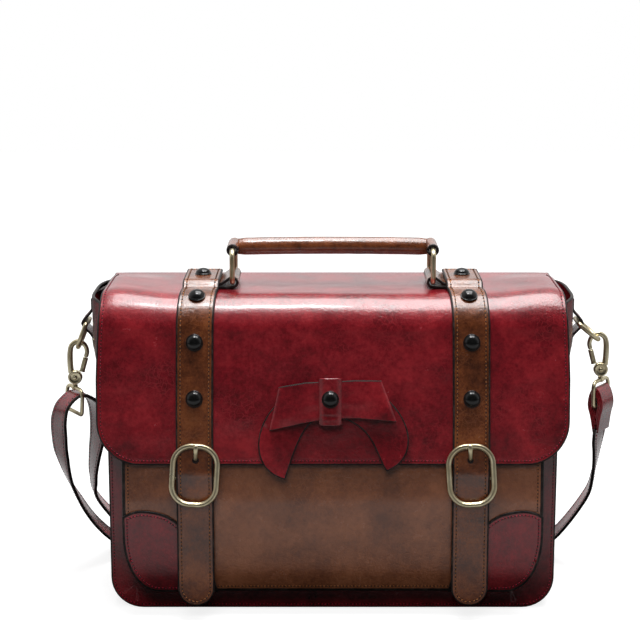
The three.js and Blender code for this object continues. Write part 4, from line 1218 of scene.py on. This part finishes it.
def make_bow():
    x, z = BOW_PLACE
    matrix = front_matrix(*on_fall(x, z, GAP), FLAP_LEAN)
    make_bow_tails(matrix)
    make_bow_loops(matrix)

    def wrap(u, v, out):
        """The wrap bends back round the loops' waist at its sides, with small folds across it."""
        roll = 3.2 * (abs(u) / 8.5) ** 3
        fold = 0.3 * math.exp(-((v + 12.5) / 1.4) ** 2) + 0.25 * math.exp(-((v + 9) / 1.2) ** 2)
        fold -= 0.3 * math.exp(-((v + 10.8) / 1.0) ** 2)
        height = 6.9 + out - roll + fold * (1 - (u / 9) ** 2)
        return matrix @ Vector((u * (1 - 0.03 * abs(v) / 17), v - 2.1, height))

    piece = cut_leather("bow_wrap_leather", rounded_box(18, 35, 2, 4), wrap, WRAP_THICKNESS,
                        RED, RED, paint=0.9, grid=(1.6, 1.2), spacing=1.5, rim=0.8)
    finish_piece(piece, "flap", "red_leather", "bow_wrap")
    make_stud("bow_stud_gloss", matrix @ place_matrix(0, 0, 8.9), "bow_stud")


# ---- Handle ----

def make_grip():
    """A rolled handle with a raised seam along its back, pinched in at both ends."""
    steps, sides = 90, 32
    ridge_angle, groove_angle = math.radians(105), math.radians(88)

    def section_of(place):
        share = 2 * place - 1
        end = smooth(0, 0.09, 1 - abs(share))
        made = []
        for x, y in round_section(1, sides):
            angle = math.atan2(y, x)
            ridge = 0.5 * math.exp(-((angle - ridge_angle) / 0.13) ** 2)
            groove = 0.35 * math.exp(-((angle - groove_angle) / 0.1) ** 2)
            ripple = 0.12 * noise.noise((share * 9, x, y))
            radius = HANDLE_RADIUS * (0.92 + 0.08 * end) + (ridge - groove + ripple) * end
            made.append((radius * x, radius * y))
        return made

    stations = []
    for share in (2 * i / steps - 1 for i in range(steps + 1)):
        centre = Vector((share * HANDLE_HALF, 0, RING_HIGH + 0.4 + 0.8 * (1 - share ** 2)))
        stations.append((centre, Vector((0, 1, 0)), Vector((0, 0, 1))))
    piece = swept("grip_leather", stations, None, BELT_BROWN, section_of=section_of)
    finish_piece(piece, "handle", "brown_leather", "handle_grip")


def make_handle_loop(side):
    """The cap at the end of the grip, folded round the ring's top bar."""
    sign = SIDES[side]
    outer, inner, half = 4.7, 2.6, 16
    line = Profile([(sign * p.x, p.y) for p in arc((0, 0), inner, -176, 176, 40)][::sign])

    def place(u, v, out):
        p = line.at(v, out)
        return Vector((sign * RING_X + p.x, u, RING_HIGH + p.y))

    outline = strip(-half, half, line.length)
    piece = cut_leather(f"handle_cap_{side}", outline, place, outer - inner, BELT_BROWN,
                        grid=(3, 1.2), spacing=1)
    finish_piece(piece, "handle", "brown_leather", f"handle_loop_{side}")


def make_ring(side):
    line = rounded_box(2 * RING_HALF, RING_HIGH - RING_LOW, 5, 8)
    matrix = place_matrix(SIDES[side] * RING_X, 0, (RING_HIGH + RING_LOW) / 2) @ turn(90, "Z")
    piece = bent_wire(f"ring_brass_{side}", line, matrix, RING_WIRE, BRASS)
    finish_piece(piece, f"handle_ring_{side}", "antique_brass", f"handle_ring_{side}")


def folded(side, line):
    """Places a strip that spans the bag's depth and runs along a line in front view."""
    def place(u, v, out):
        p = line.at(v, out)
        return Vector((SIDES[side] * p.x, u, p.y))
    return place


def make_anchor(side):
    """A wide tab folded round the ring's bottom bar, its two layers run out under the belt."""
    lower, upper = FLAP_TOP + GAP + 2.2, FLAP_TOP + GAP + 2.6
    loop = arc((RING_X, RING_LOW), RING_WIRE + 0.8, 270, 60, 24)
    line = [(ANCHOR_END, lower), *loop, (RING_X + 8, upper), (ANCHOR_END, upper)]
    line = Profile(line[::-1])
    outline = strip(-ANCHOR_WIDTH / 2, ANCHOR_WIDTH / 2, line.length)
    piece = cut_leather(f"anchor_leather_{side}", outline, folded(side, line),
                        ANCHOR_THICKNESS, BELT_BROWN, grid=(5, 1.5), spacing=2)
    finish_piece(piece, "flap", "brown_leather", f"handle_anchor_{side}")


# ---- Side rings and snap hooks ----

def make_side_tab(side):
    """A pointed tab, sewn to the side above and below the ring's bar that it holds."""
    on_side = lambda z: (BODY_HALF + bulge_at(0, z) + GAP, z)
    loop = arc((D_RING_X, D_RING_Z), D_RING_WIRE + 0.5, -45, 45, 14)
    below = [on_side(z) for z in (188, 192, 196, 200, D_RING_Z - 9.5)]
    above = [on_side(z) for z in (D_RING_Z + 9.5, 228, 232)]
    line = Profile(softened(below + loop + above, 1))
    half, top = 9.5, line.length
    outline = [(half, 6), (half, top), (-half, top), (-half, 6), (-5, 0), (5, 0)]
    piece = cut_leather(f"tab_leather_{side}", outline, folded(side, line),
                        TAB_THICKNESS, RED, grid=(4, 1.6), spacing=2)
    finish_piece(piece, "bag", "red_leather", f"side_tab_{side}")


def clip_matrices(side):
    """Where the D-ring, the hook's disc and the turned eye are."""
    sign = SIDES[side]
    lean = -sign * D_RING_LEAN[side]
    ring = place_matrix(sign * D_RING_X, 0, D_RING_Z) @ turn(lean, "Y")
    seat = ring @ place_matrix(0, 0, -D_RING_REACH) @ turn(HOOK_TILT[side] - lean, "Y")
    disc = seat @ place_matrix(sign * 2, 0, -24.1)
    return ring, disc, disc @ turn(EYE_YAW[side], "Z")


def make_d_ring(side, matrix):
    half, corner = D_RING_HALF, 2.5
    foot = arc((0, -D_RING_REACH + half), half, 180, 360, 24)
    right = arc((half - corner, -corner), corner, 0, 90, 5)
    left = arc((-half + corner, -corner), corner, 90, 180, 5)
    line = foot[:-1] + right + left[:-1]
    piece = bent_wire(f"d_ring_brass_{side}", line, matrix @ turn(90, "Z"), D_RING_WIRE, BRASS)
    finish_piece(piece, f"d_ring_{side}", "antique_brass", f"d_ring_{side}")


def catmull(points, steps):
    """A smooth line through the points, with even steps between each pair."""
    ends = [points[0] * 2 - points[1], *points, points[-1] * 2 - points[-2]]
    made = []
    for i in range(1, len(ends) - 2):
        a, b, c, d = ends[i - 1:i + 3]
        for k in range(steps):
            t = k / steps
            made.append(((2 * b) + (c - a) * t + (2 * a - 5 * b + 4 * c - d) * t ** 2
                         + (3 * b - a - 3 * c + d) * t ** 3) / 2)
    return made + [points[-1]]


# The hook's wire as (outward, up) from the middle of its boss
HOOK_LINE = [(-3.2, 3.5), (-4, 10), (-4.3, 19.5), (-3, 25.3), (1.8, 28.3), (6.6, 26), (8.6, 21),
             (7.9, 16.4)]
# Turned shapes as (radius, height)
BOSS = [(0, -2.5), (4.6, -2.5), (5.3, -2.0), (5.5, -1.2), (5.5, 1.2), (5.3, 2.0), (4.7, 2.5),
        (4.1, 2.5), (3.5, 2.0), (2.2, 1.9), (0, 1.9)]
RIVET = [(0, 1.7), (1.5, 1.7), (1.9, 2.0), (1.7, 2.5), (1.0, 2.8), (0, 2.9)]
EYE_POST = [(0, -5.9), (2.1, -5.9), (2.3, -6.2), (2.3, -6.6), (1.7, -6.8), (1.7, -7.2), (2.6, -7.5),
            (2.6, -9.2), (1.8, -9.8), (0, -9.8)]


def make_hook(side, matrix):
    """A cast hook on a turned boss, with the boss's rivet and the sprung gate."""
    sign, body = SIDES[side], f"hook_{side}"
    line = catmull([Vector((-sign * x, z)) for x, z in HOOK_LINE], 8)
    swell = lambda share: lerp(1.2, 0.92, smooth(0, 0.8, share)) * (0.72 if share > 0.985 else 1)
    piece = bent_wire(f"hook_brass_{side}", line, matrix, HOOK_WIRE, BRASS,
                      closed=False, taper=swell)
    finish_piece(piece, body, "antique_brass", f"snap_hook_{side}")
    facing_front = matrix @ turn(90, "X")
    boss = turned_shape(f"hook_boss_{side}", BOSS, facing_front, BRASS)
    finish_piece(boss, body, "antique_brass")
    rivet = turned_shape(f"hook_pin_{side}", RIVET, facing_front, BRASS, 24)
    finish_piece(rivet, body, "antique_brass", f"hook_rivet_{side}")
    line = [(-sign * lerp(5.2, 7.75, t), lerp(4.9, 15.7, t)) for t in (0, 0.08, 0.3, 0.6, 0.9, 1)]
    thin = lambda share: 1.35 if share < 0.1 else 1.15
    gate = bent_wire(f"gate_brass_{side}", line, matrix, GATE_WIRE, BRASS,
                     closed=False, taper=thin)
    finish_piece(gate, f"gate_{side}", "antique_brass", f"hook_gate_{side}")


def make_eye(side, matrix):
    """A wire eye for the strap, on a turned post under the hook's boss."""
    half = STRAP_WIDTH / 2 + 2.7
    top = [*arc((half - 5, -13.3), 5, 0, 90, 8), *arc((-half + 5, -13.3), 5, 90, 180, 8)]
    foot = [*arc((-half + 2.5, -25), 2.5, 180, 270, 6), *arc((half - 2.5, -25), 2.5, 270, 360, 6)]
    piece = bent_wire(f"eye_brass_{side}", top + foot, matrix @ turn(90, "Z"), EYE_WIRE, BRASS)
    finish_piece(piece, f"eye_{side}", "antique_brass", f"swivel_eye_{side}")
    post = turned_shape(f"eye_post_{side}", EYE_POST, matrix, BRASS, 28)
    finish_piece(post, f"eye_{side}", "antique_brass")


# Where each layer of the strap's end starts, as a share of the fold, and its width
FOLD_LAYERS = ((0, 19), (0.03, 18.6), (0.07, 18.8), (0.13, 18.4))


def make_strap_end(matrix):
    """The strap's end, folded over the right eye's bar and sewn to itself."""
    outside = [(0, 15.6), (3.6, 13.2), (6.2, 6), (6.8, -1), (4.6, -7.6), (2.5, -21)]
    right = [(x, z - 27.5) for x, z in outside]
    left = [(-x, z) for x, z in reversed(right[1:])]
    line = Profile(softened(left + right, 1)[::-1])
    for layer, (cut, width) in enumerate(FOLD_LAYERS):
        start, length = cut * line.length, (1 - 2 * cut) * line.length

        def place(u, v, out):
            p = line.at(start + v, out - 1.2 * (layer + 1))
            return matrix @ Vector((p.x, u, p.y))

        piece = cut_leather(f"strap_fold_{layer + 1}", strip(-width / 2, width / 2, length), place,
                            1.1, RED, RED, paint=0.8, grid=(4, 1.5), spacing=1.5)
        finish_piece(piece, "eye_right", "red_leather", *(["strap_end"] if layer == 0 else []))


# ---- Shoulder strap ----

def strap_stations(steps):
    """The strap's middle, the direction across it and the direction out of it, along its route."""
    route = [Vector(p[:3]) for p in STRAP_ROUTE]
    line = catmull(route, steps)
    made = []
    for i, (centre, along) in enumerate(zip(line, directions(line))):
        span = min(i // steps, len(route) - 2)
        turned = lerp(STRAP_ROUTE[span][3], STRAP_ROUTE[span + 1][3], i / steps - span)
        twist = math.radians(turned)
        across = Vector((math.sin(twist), math.cos(twist), 0))
        across = (across - along * across.dot(along)).normalized()
        made.append((centre, across, along.cross(across)))
    return made


def make_strap():
    stations = strap_stations(6)
    runs = runs_of([centre for centre, _, _ in stations])
    length = runs[-1]

    def place(u, v, out):
        i, share = span_at(runs, min(max(v, 0), length))
        centre, across, normal = (a.lerp(b, share) for a, b in zip(stations[i], stations[i + 1]))
        return centre + across.normalized() * u + normal.normalized() * (out - STRAP_THICKNESS / 2)

    outline = strip(-STRAP_WIDTH / 2, STRAP_WIDTH / 2, length)
    piece = cut_leather("strap_leather", outline, place, STRAP_THICKNESS, RED, paint=1.5,
                        stitch=STRAP_SEAM, grid=(4, 3.5), rim=1)
    finish_piece(piece, "bag", "red_leather", "shoulder_strap")
    for name, height in (("upper", STRAP_THICKNESS - THREAD_SINK), ("lower", 0.1)):
        thread = seam(f"strap_seam_{name}", outline, STRAP_SEAM, place, height, RED_THREAD,
                      keep=lambda u, v: 4 < v < length - 4, pitch=3.8)
        finish_piece(thread, "bag", "red_leather")
    path = [tuple(centre * MM) for centre, _, _ in stations]
    slider = make_slider()
    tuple(path[0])


def make_slider():
    """A flat wire frame under the strap, with a centre bar that crosses over it on two posts."""
    half, wire_radius, low, high = 12.1, 1.1, 1.25, 6.5
    x, y = SLIDER_PLACE
    matrix = place_matrix(x, y, low) @ turn(-90, "X")
    line = rounded_box(14, 2 * half, 2, 5)
    frame_piece = bent_wire("slider_frame", line, matrix, wire_radius, BRASS)
    finish_piece(frame_piece, "bag", "antique_brass", "strap_slider")
    bridge = [(-half, low), (-half, high - 0.8), (-half + 0.8, high), (half - 0.8, high),
              (half, high - 0.8), (half, low)]
    matrix = place_matrix(x, y, 0) @ turn(90, "Z")
    bar = bent_wire("slider_bar", bridge, matrix, wire_radius, BRASS, closed=False)
    finish_piece(bar, "bag", "antique_brass")
    return frame_piece


# ---- Finishes of the CAD nodes that stay ----

def finish_cad_nodes():
    finishes = {"base_board": CARD}
    for side in SIDES:
        finishes[f"snap_socket_{side}"] = finishes[f"snap_stud_{side}"] = BRASS
    for name, material in finishes.items():
        for material_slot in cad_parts[name].material_slots:
            material_slot.material = material


# ---- Floor and background ----

def cleared_tree(owner):
    owner.use_nodes = True
    owner.node_tree.nodes.clear()
    return owner.node_tree


def rays_and_seen(tree):
    """What kind of ray it is, and 1 where the camera sees the place itself."""
    rays = node(tree, "LightPath").outputs
    return rays, maths("MAXIMUM", rays["Is Camera Ray"], rays["Is Transmission Ray"])


def floor_material():
    """White paper to the camera; to reflections, a painted ring of light; to every other ray, dim,
    with painted shade that deepens towards the bag.
    """
    material = bpy.data.materials.new("floor_paper")
    tree = cleared_tree(material)
    rays, seen = rays_and_seen(tree)
    place = object_point(tree, (0.5, 1, 1))
    far = node(tree, "VectorMath", {0: place}, operation="LENGTH").outputs["Value"]
    grain = noise_at(object_point(tree), 300, 3)
    paper = ramp(grain, [(0, 0.33), (1, 0.36)])
    # Painted shade: the floor is darker near the bag for every ray but the camera's
    shade = ramp(far, [(0.08, 0.02), (0.5, 0.14)])
    diffuse = node(tree, "BsdfDiffuse", {"Color": blended(seen, shade, paper)})
    # A painted ring of light, seen only in reflections
    ring = [(0.13, 0), (0.24, 0.62), (0.46, 0.62), (0.7, 0.03)]
    mirrored = maths("MULTIPLY", rays["Is Glossy Ray"], ramp(far, ring))
    white = ramp(far, [(0.3, 0.84), (1, 1)])
    strength = maths("MAXIMUM", maths("MULTIPLY", seen, white), mirrored)
    glow = node(tree, "Emission", {"Strength": strength})
    both = node(tree, "AddShader", {0: diffuse.outputs[0], 1: glow.outputs[0]})
    node(tree, "OutputMaterial", {0: both.outputs[0]})
    return material


def make_floor():
    steps, half = 8, 3000 * MM
    places = [lerp(-half, half, i / steps) for i in range(steps + 1)]
    points = [(x, y, 0) for y in places for x in places]
    starts = [j * (steps + 1) + i for j in range(steps) for i in range(steps)]
    faces = [(a, a + 1, a + steps + 2, a + steps + 1) for a in starts]
    mesh = bpy.data.meshes.new("floor")
    mesh.from_pydata(points, [], faces)
    mesh.materials.append(floor_material())
    add_object("floor", mesh)


def make_world():
    """White to the camera; for reflections a pale studio behind the bag and a dim one in front."""
    world = bpy.data.worlds.new("studio")
    bpy.context.scene.world = world
    tree = cleared_tree(world)
    direction = node(tree, "TexCoord").outputs["Generated"]
    depth = node(tree, "SeparateXYZ", {0: direction}).outputs["Y"]
    ends = {"Value": depth, "From Min": -0.85, "From Max": 0.1, "To Min": 0.03, "To Max": 0.85}
    behind = node(tree, "MapRange", ends, interpolation_type="SMOOTHSTEP").outputs[0]
    rays, seen = rays_and_seen(tree)
    studio = node(tree, "MixRGB", {0: rays["Is Glossy Ray"], 1: rgba(0.09), 2: behind})
    color = node(tree, "MixRGB", {0: seen, 1: studio.outputs[0], 2: rgba(1)})
    background = node(tree, "Background", {"Color": color.outputs[0], "Strength": 1.0})
    node(tree, "OutputWorld", {0: background.outputs[0]})


# ---- The whole bag ----

def make_bag():
    make_panels()
    make_gusset()
    make_lining()
    make_pocket()
    make_pocket_side()
    make_flap()
    make_bow()
    make_grip()
    for side in SIDES:
        make_patch(side)
        make_belt(side)
        make_belt_studs(side)
        make_buckle(side)
        make_anchor(side)
        make_ring(side)
        make_handle_loop(side)
        make_side_tab(side)
        ring, disc, eye = clip_matrices(side)
        make_d_ring(side, ring)
        make_hook(side, disc)
        make_eye(side, eye)
    make_strap_end(clip_matrices("right")[2])
    finish_cad_nodes()


make_camera()
make_strap()
for name, settings in LAMPS.items():
    make_lamp(name, *settings)
make_bag()
make_floor()
make_world()
bpy.context.scene.view_settings.view_transform = "Standard"
